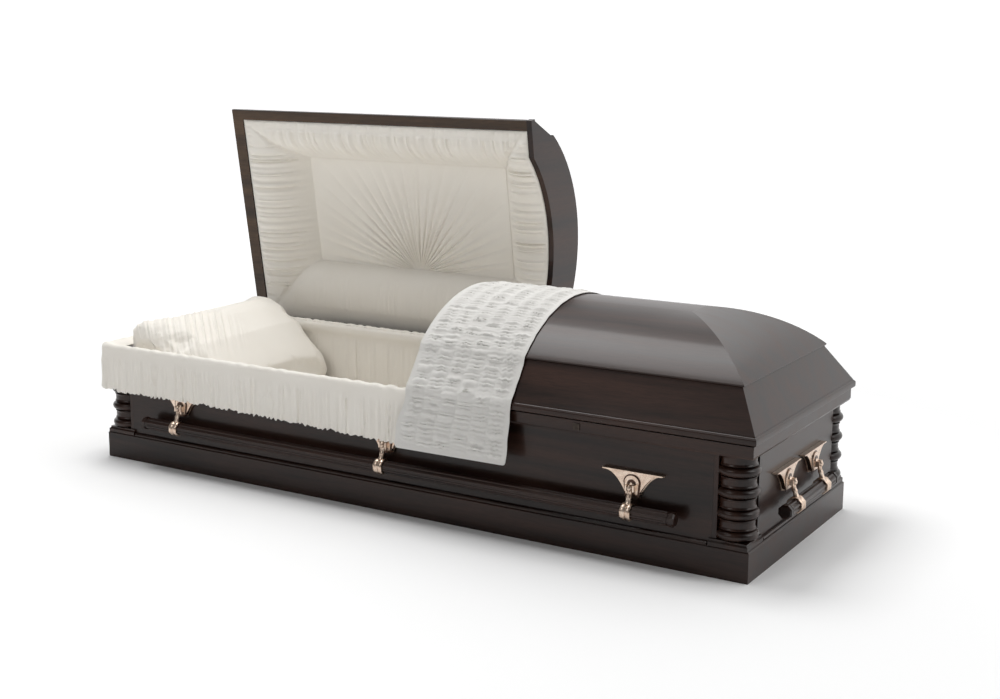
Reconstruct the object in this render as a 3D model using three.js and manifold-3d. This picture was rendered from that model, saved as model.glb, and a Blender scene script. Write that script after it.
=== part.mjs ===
// Half-couch funeral casket: head lid open, foot lid closed.
// Millimetres. X runs from the head end to the foot end, Y from the front to the
// hinged back, Z up. The origin is the centre of the underside.
import * as THREE from 'three';
import { mergeVertices } from 'three/addons/utils/BufferGeometryUtils.js';
import Module from 'manifold-3d';

const wasm = await Module();
wasm.setup();

// Clearance left between pieces that touch
const FIT = 0.3;

// Plinth and bottom
const PLINTH_LENGTH = 2134;
const PLINTH_WIDTH = 713;
const PLINTH_HEIGHT = 80;
const PLINTH_BOARD = 40;
const PLINTH_EASE = 3;
const BOTTOM_THICKNESS = 19;

// Side and end panels, set in from the plinth
const PLINTH_LEDGE_END = 13;
const BODY_LENGTH = PLINTH_LENGTH - 2 * PLINTH_LEDGE_END;
const PLINTH_LEDGE_SIDE = 9.5;
const BODY_WIDTH = PLINTH_WIDTH - 2 * PLINTH_LEDGE_SIDE;
const PANEL_THICKNESS = 20;
const CORNER_NOTCH = 76;
const POST_THICKNESS = 12;

// Turned corner columns, each seated in the notch of its corner
const COLUMN_INSET = 40;
const COLUMN_BASE_SIDE = 104;
const COLUMN_BASE_OVERHANG = 9;
const COLUMN_BASE_HEIGHT = 18;
const COLUMN_RING_RADIUS = 55;
const COLUMN_BARREL_RADIUS = 46;
const COLUMN_GROOVE_RADIUS = 41;
const COLUMN_RING_PITCH = 54;
const COLUMN_RING_COUNT = 4;
const COLUMN_RING_ROUNDING = 3;
const COLUMN_SIDES = 16;

// Top rail around the opening of the body
const RAIL_OVERHANG_END = 18;
const RAIL_LENGTH = BODY_LENGTH + 2 * RAIL_OVERHANG_END;
const RAIL_OVERHANG_SIDE = 15.5;
const RAIL_WIDTH = BODY_WIDTH + 2 * RAIL_OVERHANG_SIDE;
const BODY_HEIGHT = 234;
const RAIL_BOTTOM = PLINTH_HEIGHT + BODY_HEIGHT;
const RAIL_THICKNESS = 33;
const RAIL_TOP = RAIL_BOTTOM + RAIL_THICKNESS;
const RAIL_STEP = 3;

// Lid rim, sloped skirt and arched crown
const RIM_OVERHANG = 9;
const RIM_LENGTH = RAIL_LENGTH + 2 * RIM_OVERHANG;
const RIM_WIDTH = RAIL_WIDTH + 2 * RIM_OVERHANG;
const LID_SEAT = 5;
const RIM_BOTTOM = RAIL_TOP + LID_SEAT;
const RIM_THICKNESS = 21;
const RIM_TOP = RIM_BOTTOM + RIM_THICKNESS;
const RIM_BOARD_SIDE = 33;
const RIM_BOARD_END = 44;
const RIM_EASE = 5;
const SKIRT_INSET = 6;
const SKIRT_RISE = 101;
const SKIRT_TOP = RIM_TOP + SKIRT_RISE;
const SKIRT_LEAN_SIDE = 77;
const SKIRT_TOP_WIDTH = RIM_WIDTH - 2 * SKIRT_LEAN_SIDE;
const SKIRT_LEAN_END = 69;
const SKIRT_TOP_LENGTH = RIM_LENGTH - 2 * SKIRT_LEAN_END;
const SKIRT_THICKNESS = 16;
const CROWN_LIP_SIDE = 4.5;
const CROWN_WIDTH = SKIRT_TOP_WIDTH + 2 * CROWN_LIP_SIDE;
const CROWN_LIP_END = 5;
const CROWN_LENGTH = SKIRT_TOP_LENGTH + 2 * CROWN_LIP_END;
const CROWN_EDGE = 6;
const CROWN_EDGE_TOP = SKIRT_TOP + CROWN_EDGE;
const CROWN_ARCH_RISE = 121;
const CROWN_TOP = CROWN_EDGE_TOP + CROWN_ARCH_RISE;
const CROWN_THICKNESS = 14;
const CROWN_STEPS = 10;
const LID_CUT_X = 86.6;
const LID_CUT_GAP = 2;

// Arched header board across the cut end of each lid
const HEADER_THICKNESS = 18;
const HEADER_ARCH_RISE = 85;
const HEADER_ARCH_TOP = RIM_BOTTOM + HEADER_ARCH_RISE;
const HEADER_ARCH_RADIUS = 430;

// Back hinges
const HINGE_OUT = 4.5;
const HINGE_Y = RIM_WIDTH / 2 + HINGE_OUT;
const HINGE_DROP = 1;
const HINGE_Z = RAIL_BOTTOM - HINGE_DROP;
const HEAD_LID_OPEN_DEGREES = 80.6;
const HINGE_BARREL_RADIUS = 7;
const HINGE_LEAF = 3;
const HINGE_KNUCKLES = 5;
const HINGE_KNUCKLE_GAP = 1;
const HINGE_BARREL_SIDES = 12;
const HINGE_PLATE_MARGIN = 2;
const HINGE_END_MARGIN = 124;
const HEAD_HINGE_FROM = HINGE_END_MARGIN - BODY_LENGTH / 2;
const HEAD_HINGE_MARGIN = 156.6;
const HEAD_HINGE_TO = LID_CUT_X - HEAD_HINGE_MARGIN;
const FOOT_HINGE_MARGIN = 143.4;
const FOOT_HINGE_FROM = LID_CUT_X + FOOT_HINGE_MARGIN;
const FOOT_HINGE_TO = BODY_LENGTH / 2 - HINGE_END_MARGIN;

// Soft furnishing
const LINING_THICKNESS = 8;
const MATTRESS_MARGIN_END = 114;
const MATTRESS_LENGTH = BODY_LENGTH - 2 * MATTRESS_MARGIN_END;
const MATTRESS_MARGIN_SIDE = 37;
const MATTRESS_WIDTH = BODY_WIDTH - 2 * MATTRESS_MARGIN_SIDE;
const MATTRESS_TOP = 165;
const PILLOW_MARGIN_SIDE = 113;
const PILLOW_WIDTH = BODY_WIDTH - 2 * PILLOW_MARGIN_SIDE;
const PILLOW_DEPTH = 316;
const PILLOW_HEIGHT = 243;
const PILLOW_FROM_END = 186;
const PILLOW_CREST_X = PILLOW_FROM_END - BODY_LENGTH / 2;
const PILLOW_END_SHRINK = 0.86;
const CAP_DROP = 33;
const CAP_HEIGHT = SKIRT_TOP - CAP_DROP;
const CAP_THICKNESS = 8;
const CAP_MARGIN_SIDE = 42.5;
const CAP_HALF_WIDTH = SKIRT_TOP_WIDTH / 2 - CAP_MARGIN_SIDE;
const HEAD_CAP_MARGIN = 62;
const HEAD_CAP_FROM = HEAD_CAP_MARGIN - SKIRT_TOP_LENGTH / 2;
const HEAD_CAP_CUT_MARGIN = 106.6;
const HEAD_CAP_TO = LID_CUT_X - HEAD_CAP_CUT_MARGIN;
const FOOT_CAP_MARGIN = 32;
const FOOT_CAP_END = SKIRT_TOP_LENGTH / 2 - FOOT_CAP_MARGIN;
const LID_CLOTH = 10;
const LID_CLOTH_RISE = 1;
const APRON_CUT_MARGIN = 20.6;
const APRON_END_X = LID_CUT_X - APRON_CUT_MARGIN;
const APRON_DROP = 127;
const APRON_HEM_Z = RAIL_TOP - APRON_DROP;
const APRON_TOP_CLOTH = 3;
const APRON_HANG_CLOTH = 8;
const APRON_BACK_MARGIN = 47;
const APRON_BACK_Y = BODY_WIDTH / 2 - APRON_BACK_MARGIN;
const APRON_GAP = 2;
const APRON_SHOULDER = 3;
const OVERLAY_LENGTH = 322;
const OVERLAY_THICKNESS = 5;
const OVERLAY_GAP = 1.2;
const OVERLAY_DROP = 139;
const OVERLAY_HEM_Z = RAIL_TOP - OVERLAY_DROP;
const OVERLAY_FLARE = 25.5;
const OVERLAY_HEM_Y = RIM_WIDTH / 2 + OVERLAY_FLARE;
const OVERLAY_HANG_SLOPE = 12;
const OVERLAY_HANG_BEND = 80;
const OVERLAY_BACK_INSET = 14;

// Swing-bar handles
const HANDLE_PIVOT_DROP = 117;
const HANDLE_PIVOT_Z = RAIL_BOTTOM - HANDLE_PIVOT_DROP;
const LUG_WIDTH = 168;
const LUG_RISE = 40;
const LUG_TOP_Z = HANDLE_PIVOT_Z + LUG_RISE;
const LUG_FALL = 25;
const LUG_BOTTOM_Z = HANDLE_PIVOT_Z - LUG_FALL;
const LUG_PLATE = 13;
const LUG_BOSS = 17;
const LUG_ARCH_HALF = 22;
const LUG_ARCH_RISE = 14;
const LUG_ARCH_STEPS = 8;
const EAR_THICKNESS = 6;
const EAR_HALF_HEIGHT = 8;
const EAR_REACH = 5;
const EAR_PLAY = 0.7;
const HANDLE_PIVOT_OUT = 25;
const BAR_OUT = 36;
const BAR_DROP = 58;
const BAR_Z = HANDLE_PIVOT_Z - BAR_DROP;
const BAR_RADIUS = 18;
const BAR_SIDES = 8;
const BAR_CAP_LENGTH = 16;
const BAR_CAP_STEP = 1.5;
const SIDE_BAR_MARGIN = 169;
const SIDE_BAR_LENGTH = BODY_LENGTH - 2 * SIDE_BAR_MARGIN;
const END_BAR_MARGIN = 166;
const END_BAR_LENGTH = BODY_WIDTH - 2 * END_BAR_MARGIN;
const SIDE_ARM_INSET = 131;
const SIDE_ARM_SPACING = SIDE_BAR_LENGTH / 2 - SIDE_ARM_INSET;
const END_ARM_SPACING = 196;
const ARM_WIDTH = 14;
const EYE_RADIUS = 7;
const CLASP_RADIUS = 23;
const CLASP_WIDTH = 28;
const SHANK_HALF = 6;

// Latch plate on the foot end of the rail
const LATCH_FROM_END = 458;
const LATCH_X = BODY_LENGTH / 2 - LATCH_FROM_END;
const LATCH_DROP = 15;
const LATCH_Z = RAIL_TOP - LATCH_DROP;
const LATCH_HALF = 9;
const LATCH_THICKNESS = 2;

const halfBodyX = BODY_LENGTH / 2;
const halfBodyY = BODY_WIDTH / 2;
const innerX = halfBodyX - PANEL_THICKNESS;
const innerY = halfBodyY - PANEL_THICKNESS;
const notchX = halfBodyX - CORNER_NOTCH;
const notchY = halfBodyY - CORNER_NOTCH;
const panelBottom = PLINTH_HEIGHT + FIT;
const panelTop = RAIL_BOTTOM - FIT;
const railX = RAIL_LENGTH / 2;
const railY = RAIL_WIDTH / 2;
const rimX = RIM_LENGTH / 2;
const rimY = RIM_WIDTH / 2;
const crownRadius = ((CROWN_WIDTH / 2) ** 2 + CROWN_ARCH_RISE ** 2) / (2 * CROWN_ARCH_RISE);

const finishes = {
  walnut: { color: 0x2e211d, roughness: 0.38, metalness: 0 },
  walnutBar: { color: 0x2a1d19, roughness: 0.3, metalness: 0 },
  copper: { color: 0xc08f7c, roughness: 0.28, metalness: 1 },
  steel: { color: 0x3a3431, roughness: 0.45, metalness: 1 },
  crepe: { color: 0xece6db, roughness: 0.9, metalness: 0 },
};

const casket = new THREE.Group();
casket.name = 'funeral_casket';

function add(parent, name, geometry, finish) {
  const mesh = new THREE.Mesh(geometry, new THREE.MeshStandardMaterial(finishes[finish]));
  mesh.name = name;
  parent.add(mesh);
  return mesh;
}

// Gathers triangles by position and drops the ones that fold to nothing
class SolidMaker {
  constructor() {
    this.points = [];
    this.byPlace = new Map();
    this.index = [];
  }

  point(x, y, z) {
    const key = [x, y, z].map((value) => value.toFixed(4)).join(' ');
    if (!this.byPlace.has(key)) {
      this.byPlace.set(key, this.points.length);
      this.points.push([x, y, z]);
    }
    return this.byPlace.get(key);
  }

  triangle(a, b, c) {
    if (a !== b && b !== c && c !== a) {
      this.index.push(a, b, c);
    }
  }

  quad(a, b, c, d) {
    this.triangle(a, b, c);
    this.triangle(a, c, d);
  }

  volume() {
    let sum = 0;
    for (let i = 0; i < this.index.length; i += 3) {
      const [a, b, c] = this.index.slice(i, i + 3).map((n) => new THREE.Vector3(...this.points[n]));
      sum += a.dot(b.cross(c)) / 6;
    }
    return sum;
  }

  geometry() {
    if (this.volume() < 0) {
      this.index.reverse();
    }
    const shared = new THREE.BufferGeometry();
    shared.setAttribute('position', new THREE.Float32BufferAttribute(this.points.flat(), 3));
    shared.setIndex(this.index);
    const crisp = shared.toNonIndexed();
    crisp.computeVertexNormals();
    return crisp;
  }
}

// Skins a row of equal outlines. Each row is a list of [x, y, z] points. The flat
// outline gives the triangles of the two end caps.
function sweep(rows, flat, closed = false) {
  const maker = new SolidMaker();
  const grid = rows.map((row) => row.map((p) => maker.point(...p)));
  const last = closed ? grid.length : grid.length - 1;
  for (let r = 0; r < last; r += 1) {
    const here = grid[r];
    const next = grid[(r + 1) % grid.length];
    for (let i = 0; i < here.length; i += 1) {
      const j = (i + 1) % here.length;
      maker.quad(here[i], here[j], next[j], next[i]);
    }
  }
  if (!closed) {
    const outline = flat.map(([u, v]) => new THREE.Vector2(u, v));
    const turn = Math.sign(THREE.ShapeUtils.area(outline));
    for (const face of THREE.ShapeUtils.triangulateShape(outline, [])) {
      const corners = face.map((n) => outline[n]);
      const [a, b, c] = Math.sign(THREE.ShapeUtils.area(corners)) === turn ? face : [...face].reverse();
      maker.triangle(grid[0][c], grid[0][b], grid[0][a]);
      maker.triangle(grid.at(-1)[a], grid.at(-1)[b], grid.at(-1)[c]);
    }
  }
  return maker.geometry();
}

// Rectangular frame with mitred corners. A section point is [half width, half length, z].
function frame(section) {
  const corners = [[-1, -1], [1, -1], [1, 1], [-1, 1]];
  const rows = corners.map(([sx, sy]) => section.map(([h, e, z]) => [sx * e, sy * h, z]));
  return sweep(rows, [], true);
}

// Three-sided frame that is open at the cut between the lids
function lidFrame(section, cutX, side) {
  const rows = [
    section.map(([h, , z]) => [cutX, -h, z]),
    section.map(([h, e, z]) => [side * e, -h, z]),
    section.map(([h, e, z]) => [side * e, h, z]),
    section.map(([h, , z]) => [cutX, h, z]),
  ];
  return sweep(rows, section.map(([h, , z]) => [h, z]));
}

function box(x0, x1, y0, y1, z0, z1) {
  const geometry = new THREE.BoxGeometry(x1 - x0, y1 - y0, z1 - z0);
  return geometry.translate((x0 + x1) / 2, (y0 + y1) / 2, (z0 + z1) / 2);
}

// Plate with its outline in Y and Z, running along X from start
function plateAlongX(outline, start, length) {
  const shape = new THREE.Shape(outline.map(([u, v]) => new THREE.Vector2(u, v)));
  const geometry = new THREE.ExtrudeGeometry(shape, { depth: length, bevelEnabled: false });
  const turn = new THREE.Matrix4().makeBasis(
    new THREE.Vector3(0, 1, 0),
    new THREE.Vector3(0, 0, 1),
    new THREE.Vector3(1, 0, 0),
  );
  return geometry.applyMatrix4(turn).translate(start, 0, 0);
}

// Plate with its outline in X and Z that stands out towards -Y from the plane y = face
function plateOutward(outline, face, depth) {
  const shape = new THREE.Shape(outline.map(([u, v]) => new THREE.Vector2(u, v)));
  const geometry = new THREE.ExtrudeGeometry(shape, { depth, bevelEnabled: false });
  const turn = new THREE.Matrix4().makeBasis(
    new THREE.Vector3(1, 0, 0),
    new THREE.Vector3(0, 0, 1),
    new THREE.Vector3(0, -1, 0),
  );
  return geometry.applyMatrix4(turn).translate(0, face, 0);
}

function rod(radius, length, sides, y, z, x = 0) {
  const geometry = new THREE.CylinderGeometry(radius, radius, length, sides);
  return geometry.rotateY(Math.PI / sides).rotateZ(Math.PI / 2).translate(x, y, z);
}

function toManifold(geometry) {
  const bare = geometry.clone();
  bare.deleteAttribute('normal');
  bare.deleteAttribute('uv');
  const merged = mergeVertices(bare, 1e-4);
  const mesh = new wasm.Mesh({
    numProp: 3,
    vertProperties: Float32Array.from(merged.attributes.position.array),
    triVerts: Uint32Array.from(merged.index.array),
  });
  return new wasm.Manifold(mesh);
}

function fromManifold(solid) {
  const mesh = solid.getMesh();
  const geometry = new THREE.BufferGeometry();
  geometry.setAttribute('position', new THREE.Float32BufferAttribute(mesh.vertProperties, 3));
  geometry.setIndex([...mesh.triVerts]);
  const crisp = geometry.toNonIndexed();
  crisp.computeVertexNormals();
  return crisp;
}

function join(...geometries) {
  return fromManifold(geometries.map(toManifold).reduce((sum, next) => sum.add(next)));
}

// Bottom board and plinth
function buildBase() {
  const halfX = PLINTH_LENGTH / 2;
  const halfY = PLINTH_WIDTH / 2;
  const levels = [
    [0, 0],
    [0, PLINTH_HEIGHT - PLINTH_EASE],
    [PLINTH_EASE, PLINTH_HEIGHT],
    [PLINTH_BOARD, PLINTH_HEIGHT],
    [PLINTH_BOARD, 0],
  ];
  add(casket, 'plinth', frame(levels.map(([inset, z]) => [halfY - inset, halfX - inset, z])), 'walnut');
  const boardX = halfX - PLINTH_BOARD - FIT;
  const boardY = halfY - PLINTH_BOARD - FIT;
  add(casket, 'bottom_board', box(-boardX, boardX, -boardY, boardY, 0, BOTTOM_THICKNESS), 'walnut');
}

// Four panels and the L-shaped posts that line the corner notches
function buildWalls() {
  const sideEnd = notchX - POST_THICKNESS - FIT;
  const endSide = notchY - POST_THICKNESS - FIT;
  const sides = { front: -1, back: 1 };
  for (const [name, sign] of Object.entries(sides)) {
    const panel = box(-sideEnd, sideEnd, innerY, halfBodyY, panelBottom, panelTop);
    add(casket, `panel_${name}`, sign > 0 ? panel : panel.rotateZ(Math.PI), 'walnut');
  }
  const ends = { head: -1, foot: 1 };
  for (const [name, sign] of Object.entries(ends)) {
    const panel = box(innerX, halfBodyX, -endSide, endSide, panelBottom, panelTop);
    add(casket, `panel_${name}`, sign > 0 ? panel : panel.rotateZ(Math.PI), 'walnut');
  }
  const plan = [
    [notchX - POST_THICKNESS, -halfBodyY],
    [notchX, -halfBodyY],
    [notchX, -notchY],
    [halfBodyX, -notchY],
    [halfBodyX, -notchY + POST_THICKNESS],
    [notchX - POST_THICKNESS, -notchY + POST_THICKNESS],
  ];
  for (const [endName, sx] of Object.entries(ends)) {
    for (const [sideName, sy] of Object.entries(sides)) {
      const rows = [panelBottom, panelTop].map((z) => plan.map(([x, y]) => [sx * x, -sy * y, z]));
      add(casket, `corner_post_${endName}_${sideName}`, sweep(rows, plan), 'walnut');
    }
  }
}

// Outline of a column from its base up, as [radius, z]
function columnProfile() {
  const bottom = PLINTH_HEIGHT + COLUMN_BASE_HEIGHT;
  const sunk = bottom - COLUMN_RING_ROUNDING;
  const profile = [[0, sunk], [COLUMN_GROOVE_RADIUS, sunk]];
  const half = COLUMN_RING_PITCH / 2;
  const firstRing = bottom + half / 2;
  for (let k = 0; k < COLUMN_RING_COUNT; k += 1) {
    const ring = firstRing + k * COLUMN_RING_PITCH;
    profile.push([COLUMN_GROOVE_RADIUS, ring - half * 0.48]);
    profile.push([COLUMN_RING_RADIUS - COLUMN_RING_ROUNDING, ring - half * 0.3]);
    profile.push([COLUMN_RING_RADIUS, ring]);
    profile.push([COLUMN_RING_RADIUS - COLUMN_RING_ROUNDING, ring + half * 0.3]);
    profile.push([COLUMN_GROOVE_RADIUS, ring + half * 0.48]);
    profile.push([COLUMN_BARREL_RADIUS, ring + half * 0.72]);
    profile.push([COLUMN_BARREL_RADIUS, ring + half * 1.28]);
  }
  profile.push([COLUMN_GROOVE_RADIUS, panelTop]);
  profile.push([0, panelTop]);
  return profile.map(([radius, z]) => new THREE.Vector2(radius, z));
}

// Column of the foot-front corner, measured from its own axis
function columnGeometry() {
  const wall = COLUMN_INSET - CORNER_NOTCH + FIT;
  const outer = COLUMN_INSET + COLUMN_BASE_OVERHANG;
  const face = COLUMN_INSET + FIT;
  const inner = outer - COLUMN_BASE_SIDE;
  const baseTop = PLINTH_HEIGHT + COLUMN_BASE_HEIGHT;
  const turned = new THREE.LatheGeometry(columnProfile(), COLUMN_SIDES).rotateX(Math.PI / 2);
  const reach = 2 * COLUMN_RING_RADIUS;
  const room = box(wall, reach, -reach, -wall, panelBottom, panelTop);
  const seated = toManifold(turned).intersect(toManifold(room));
  const plan = [
    [inner, -outer],
    [outer, -outer],
    [outer, -inner],
    [face, -inner],
    [face, -wall],
    [wall, -wall],
    [wall, -face],
    [inner, -face],
  ];
  const base = sweep([panelBottom, baseTop].map((z) => plan.map(([x, y]) => [x, y, z])), plan);
  return fromManifold(seated.add(toManifold(base)));
}

function buildColumns() {
  const x = halfBodyX - COLUMN_INSET;
  const y = halfBodyY - COLUMN_INSET;
  const corners = [
    ['foot_front', 1, -1],
    ['foot_back', 1, 1],
    ['head_back', -1, 1],
    ['head_front', -1, -1],
  ];
  corners.forEach(([name, sx, sy], quarter) => {
    const column = columnGeometry().rotateZ((quarter * Math.PI) / 2).translate(sx * x, sy * y, 0);
    add(casket, `column_${name}`, column, 'walnut');
  });
}

// Plan of the opening inside the walls, which steps in around each corner post.
// Each of its 12 points comes with the point of the outer rectangle across from it.
function openingPath(inset, outerX, outerY) {
  const a = notchX - POST_THICKNESS - FIT - inset;
  const b = notchY - POST_THICKNESS - FIT - inset;
  const h = innerY - inset;
  const e = innerX - inset;
  const corner = (sx, sy) => [
    { inside: [sx * a, sy * h], outside: [sx * (a - CORNER_NOTCH), sy * outerY] },
    { inside: [sx * a, sy * b], outside: [sx * outerX, sy * outerY] },
    { inside: [sx * e, sy * b], outside: [sx * outerX, sy * (b - CORNER_NOTCH)] },
  ];
  return [
    ...corner(1, -1),
    ...corner(1, 1).reverse(),
    ...corner(-1, 1),
    ...corner(-1, -1).reverse(),
  ];
}

function buildRail() {
  const full = openingPath(0, railX, railY);
  const stepped = openingPath(0, railX - RAIL_STEP, railY - RAIL_STEP);
  const rows = full.map(({ inside, outside }, n) => [
    [...stepped[n].outside, RAIL_BOTTOM],
    [...outside, RAIL_BOTTOM + 2 * RAIL_STEP],
    [...outside, RAIL_TOP],
    [...inside, RAIL_TOP],
    [...inside, RAIL_BOTTOM],
  ]);
  add(casket, 'top_rail', sweep(rows, [], true), 'walnut');
}

// Outer curve of the crown from its edge to the ridge, a circular arc in Y and Z
function crownArc(halfWidth, edgeZ, steps, inset) {
  const radius = crownRadius - inset;
  const centreZ = CROWN_TOP - crownRadius;
  const start = Math.asin(halfWidth / radius);
  const levels = [];
  for (let k = 0; k <= steps; k += 1) {
    const angle = start * (1 - k / steps);
    levels.push([radius * Math.sin(angle), centreZ + radius * Math.cos(angle)]);
  }
  levels[0][1] = Math.max(edgeZ, levels[0][1]);
  return levels;
}

// Half the width of the crown's inner face where it meets the top of the skirt
function innerEdgeHalfWidth() {
  const drop = CROWN_TOP - crownRadius - (SKIRT_TOP + FIT);
  return Math.sqrt((crownRadius - CROWN_THICKNESS) ** 2 - drop ** 2);
}

// Crown with hips mitred at the end and an open arch at the cut
function crownShell(cutX, side) {
  const endOffset = (CROWN_LENGTH - CROWN_WIDTH) / 2;
  const outer = [
    [CROWN_WIDTH / 2, SKIRT_TOP + FIT],
    ...crownArc(CROWN_WIDTH / 2, CROWN_EDGE_TOP, CROWN_STEPS, 0),
  ];
  const inner = crownArc(innerEdgeHalfWidth(), SKIRT_TOP + FIT, CROWN_STEPS + 1, CROWN_THICKNESS);
  const maker = new SolidMaker();
  const corners = ([h, z]) => [
    maker.point(cutX, -h, z),
    maker.point(side * (h + endOffset), -h, z),
    maker.point(side * (h + endOffset), h, z),
    maker.point(cutX, h, z),
  ];
  const skin = outer.map(corners);
  const lining = inner.map(corners);
  for (let k = 0; k + 1 < skin.length; k += 1) {
    for (let c = 0; c < 3; c += 1) {
      maker.quad(skin[k][c], skin[k][c + 1], skin[k + 1][c + 1], skin[k + 1][c]);
      maker.quad(lining[k][c], lining[k + 1][c], lining[k + 1][c + 1], lining[k][c + 1]);
    }
    maker.quad(skin[k][0], skin[k + 1][0], lining[k + 1][0], lining[k][0]);
    maker.quad(skin[k + 1][3], skin[k][3], lining[k][3], lining[k + 1][3]);
  }
  for (let c = 0; c < 3; c += 1) {
    maker.quad(skin[0][c + 1], skin[0][c], lining[0][c], lining[0][c + 1]);
  }
  return maker.geometry();
}

// Outer contour of a lid across its width, from the front rim to the back rim
function lidContour() {
  const half = [
    [rimY, RIM_BOTTOM],
    [rimY, RIM_TOP],
    [rimY - SKIRT_INSET, RIM_TOP],
    [SKIRT_TOP_WIDTH / 2, SKIRT_TOP],
    [CROWN_WIDTH / 2, SKIRT_TOP],
    ...crownArc(CROWN_WIDTH / 2, CROWN_EDGE_TOP, CROWN_STEPS, 0),
  ];
  const front = half.map(([y, z]) => [-y, z]);
  return [...front, ...half.slice(0, -1).reverse()];
}

function headerOutline() {
  const arch = [];
  const halfAngle = Math.acos((HEADER_ARCH_RADIUS - HEADER_ARCH_RISE) / HEADER_ARCH_RADIUS);
  const centreZ = HEADER_ARCH_TOP - HEADER_ARCH_RADIUS;
  const steps = 12;
  for (let k = 0; k <= steps; k += 1) {
    const angle = halfAngle * (1 - (2 * k) / steps);
    const y = HEADER_ARCH_RADIUS * Math.sin(angle);
    arch.push([y, centreZ + HEADER_ARCH_RADIUS * Math.cos(angle)]);
  }
  return [...lidContour(), ...arch];
}

function buildWoodenLid(parent, name, side) {
  const cutFace = LID_CUT_X + (side * LID_CUT_GAP) / 2;
  const shellCut = cutFace + side * (HEADER_THICKNESS + FIT);
  const rim = [
    [rimY - RIM_EASE, rimX - RIM_EASE, RIM_BOTTOM],
    [rimY, rimX, RIM_BOTTOM + RIM_EASE],
    [rimY, rimX, RIM_TOP - RIM_EASE],
    [rimY - RIM_EASE, rimX - RIM_EASE, RIM_TOP],
    [rimY - RIM_BOARD_SIDE, rimX - RIM_BOARD_END, RIM_TOP],
    [rimY - RIM_BOARD_SIDE, rimX - RIM_BOARD_END, RIM_BOTTOM],
  ];
  add(parent, `${name}_rim`, lidFrame(rim, shellCut, side), 'walnut');
  const lowY = rimY - SKIRT_INSET;
  const lowX = rimX - SKIRT_INSET;
  const skirt = [
    [lowY, lowX, RIM_TOP + FIT],
    [SKIRT_TOP_WIDTH / 2, SKIRT_TOP_LENGTH / 2, SKIRT_TOP],
    [SKIRT_TOP_WIDTH / 2 - SKIRT_THICKNESS, SKIRT_TOP_LENGTH / 2 - SKIRT_THICKNESS, SKIRT_TOP],
    [lowY - SKIRT_THICKNESS, lowX - SKIRT_THICKNESS, RIM_TOP + FIT],
  ];
  add(parent, `${name}_skirt`, lidFrame(skirt, shellCut, side), 'walnut');
  add(parent, `${name}_crown`, crownShell(shellCut, side), 'walnut');
  const start = side > 0 ? cutFace : cutFace - HEADER_THICKNESS;
  add(parent, `${name}_header`, plateAlongX(headerOutline(), start, HEADER_THICKNESS), 'walnut');
}

// Tray-shaped lining of a lid, from the inside of its rim up to the flat cap
function lidTray(cutX, side, capHalfWidth, capEnd, capStart) {
  const lowY = rimY - RIM_BOARD_SIDE - FIT;
  const lowX = rimX - RIM_BOARD_END - FIT;
  const low = RIM_BOTTOM + LID_CLOTH_RISE;
  const thick = LID_CLOTH;
  const ring = (x0, x1, y, z) => [
    [x0, -y, z],
    [side * x1, -y, z],
    [side * x1, y, z],
    [x0, y, z],
  ];
  const corner = [
    ring(cutX, lowX, lowY, low),
    ring(cutX, lowX, lowY, RIM_TOP),
    ring(capStart - side * thick, capEnd + thick, capHalfWidth + thick, CAP_HEIGHT),
    ring(capStart, capEnd, capHalfWidth, CAP_HEIGHT),
    ring(cutX + side * thick, lowX - thick, lowY - thick, low),
  ];
  const rows = [0, 1, 2, 3].map((c) => corner.map((level) => level[c]));
  return sweep(rows, [], true);
}

function buildHeadLining(parent) {
  const side = -1;
  const cutX = LID_CUT_X - LID_CUT_GAP / 2 - HEADER_THICKNESS - FIT;
  const tray = lidTray(cutX, side, CAP_HALF_WIDTH, -HEAD_CAP_FROM, HEAD_CAP_TO);
  add(parent, 'head_lid_roll', tray, 'crepe');
  const capX = [HEAD_CAP_FROM - LID_CLOTH, HEAD_CAP_TO + LID_CLOTH];
  const capY = CAP_HALF_WIDTH + LID_CLOTH;
  const cap = box(...capX, -capY, capY, CAP_HEIGHT + FIT, CAP_HEIGHT + CAP_THICKNESS);
  add(parent, 'head_lid_cap', cap, 'crepe');
}

function buildFootLining(parent) {
  const cutX = LID_CUT_X + LID_CUT_GAP / 2 + HEADER_THICKNESS + FIT;
  const slabY = CAP_HALF_WIDTH + LID_CLOTH;
  const slab = box(cutX, FOOT_CAP_END, -slabY, slabY, CAP_HEIGHT, CAP_HEIGHT + CAP_THICKNESS);
  add(parent, 'foot_lid_lining', slab, 'crepe');
}

// Continuous hinge: the body leaf and the lid leaf take turns along one barrel
function hingeLeaves(from, to) {
  const pitch = (to - from) / HINGE_KNUCKLES;
  const half = (pitch - HINGE_KNUCKLE_GAP) / 2;
  const railBack = railY + FIT;
  const rimBack = rimY + FIT;
  const webTop = HINGE_Z + HINGE_LEAF * 1.5;
  const margin = HINGE_PLATE_MARGIN;
  const bodyPlate = box(from, to, railBack, railBack + HINGE_LEAF, HINGE_Z + margin, RAIL_TOP - margin);
  const lidPlate = box(from, to, rimBack, rimBack + HINGE_LEAF, RIM_BOTTOM + 1, RIM_TOP - margin);
  const bodyParts = [bodyPlate];
  const lidParts = [lidPlate];
  for (let k = 0; k < HINGE_KNUCKLES; k += 1) {
    const centre = from + pitch * (k + 0.5);
    const ends = [centre - half, centre + half];
    const barrel = rod(HINGE_BARREL_RADIUS, 2 * half, HINGE_BARREL_SIDES, HINGE_Y, HINGE_Z, centre);
    if (k % 2 === 0) {
      bodyParts.push(barrel, box(...ends, railBack, HINGE_Y, webTop - HINGE_LEAF, webTop));
    } else {
      const web = box(...ends, rimBack, rimBack + HINGE_LEAF, HINGE_Z, RIM_BOTTOM + margin);
      lidParts.push(barrel, web);
    }
  }
  return { body: join(...bodyParts), lid: join(...lidParts) };
}

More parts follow.
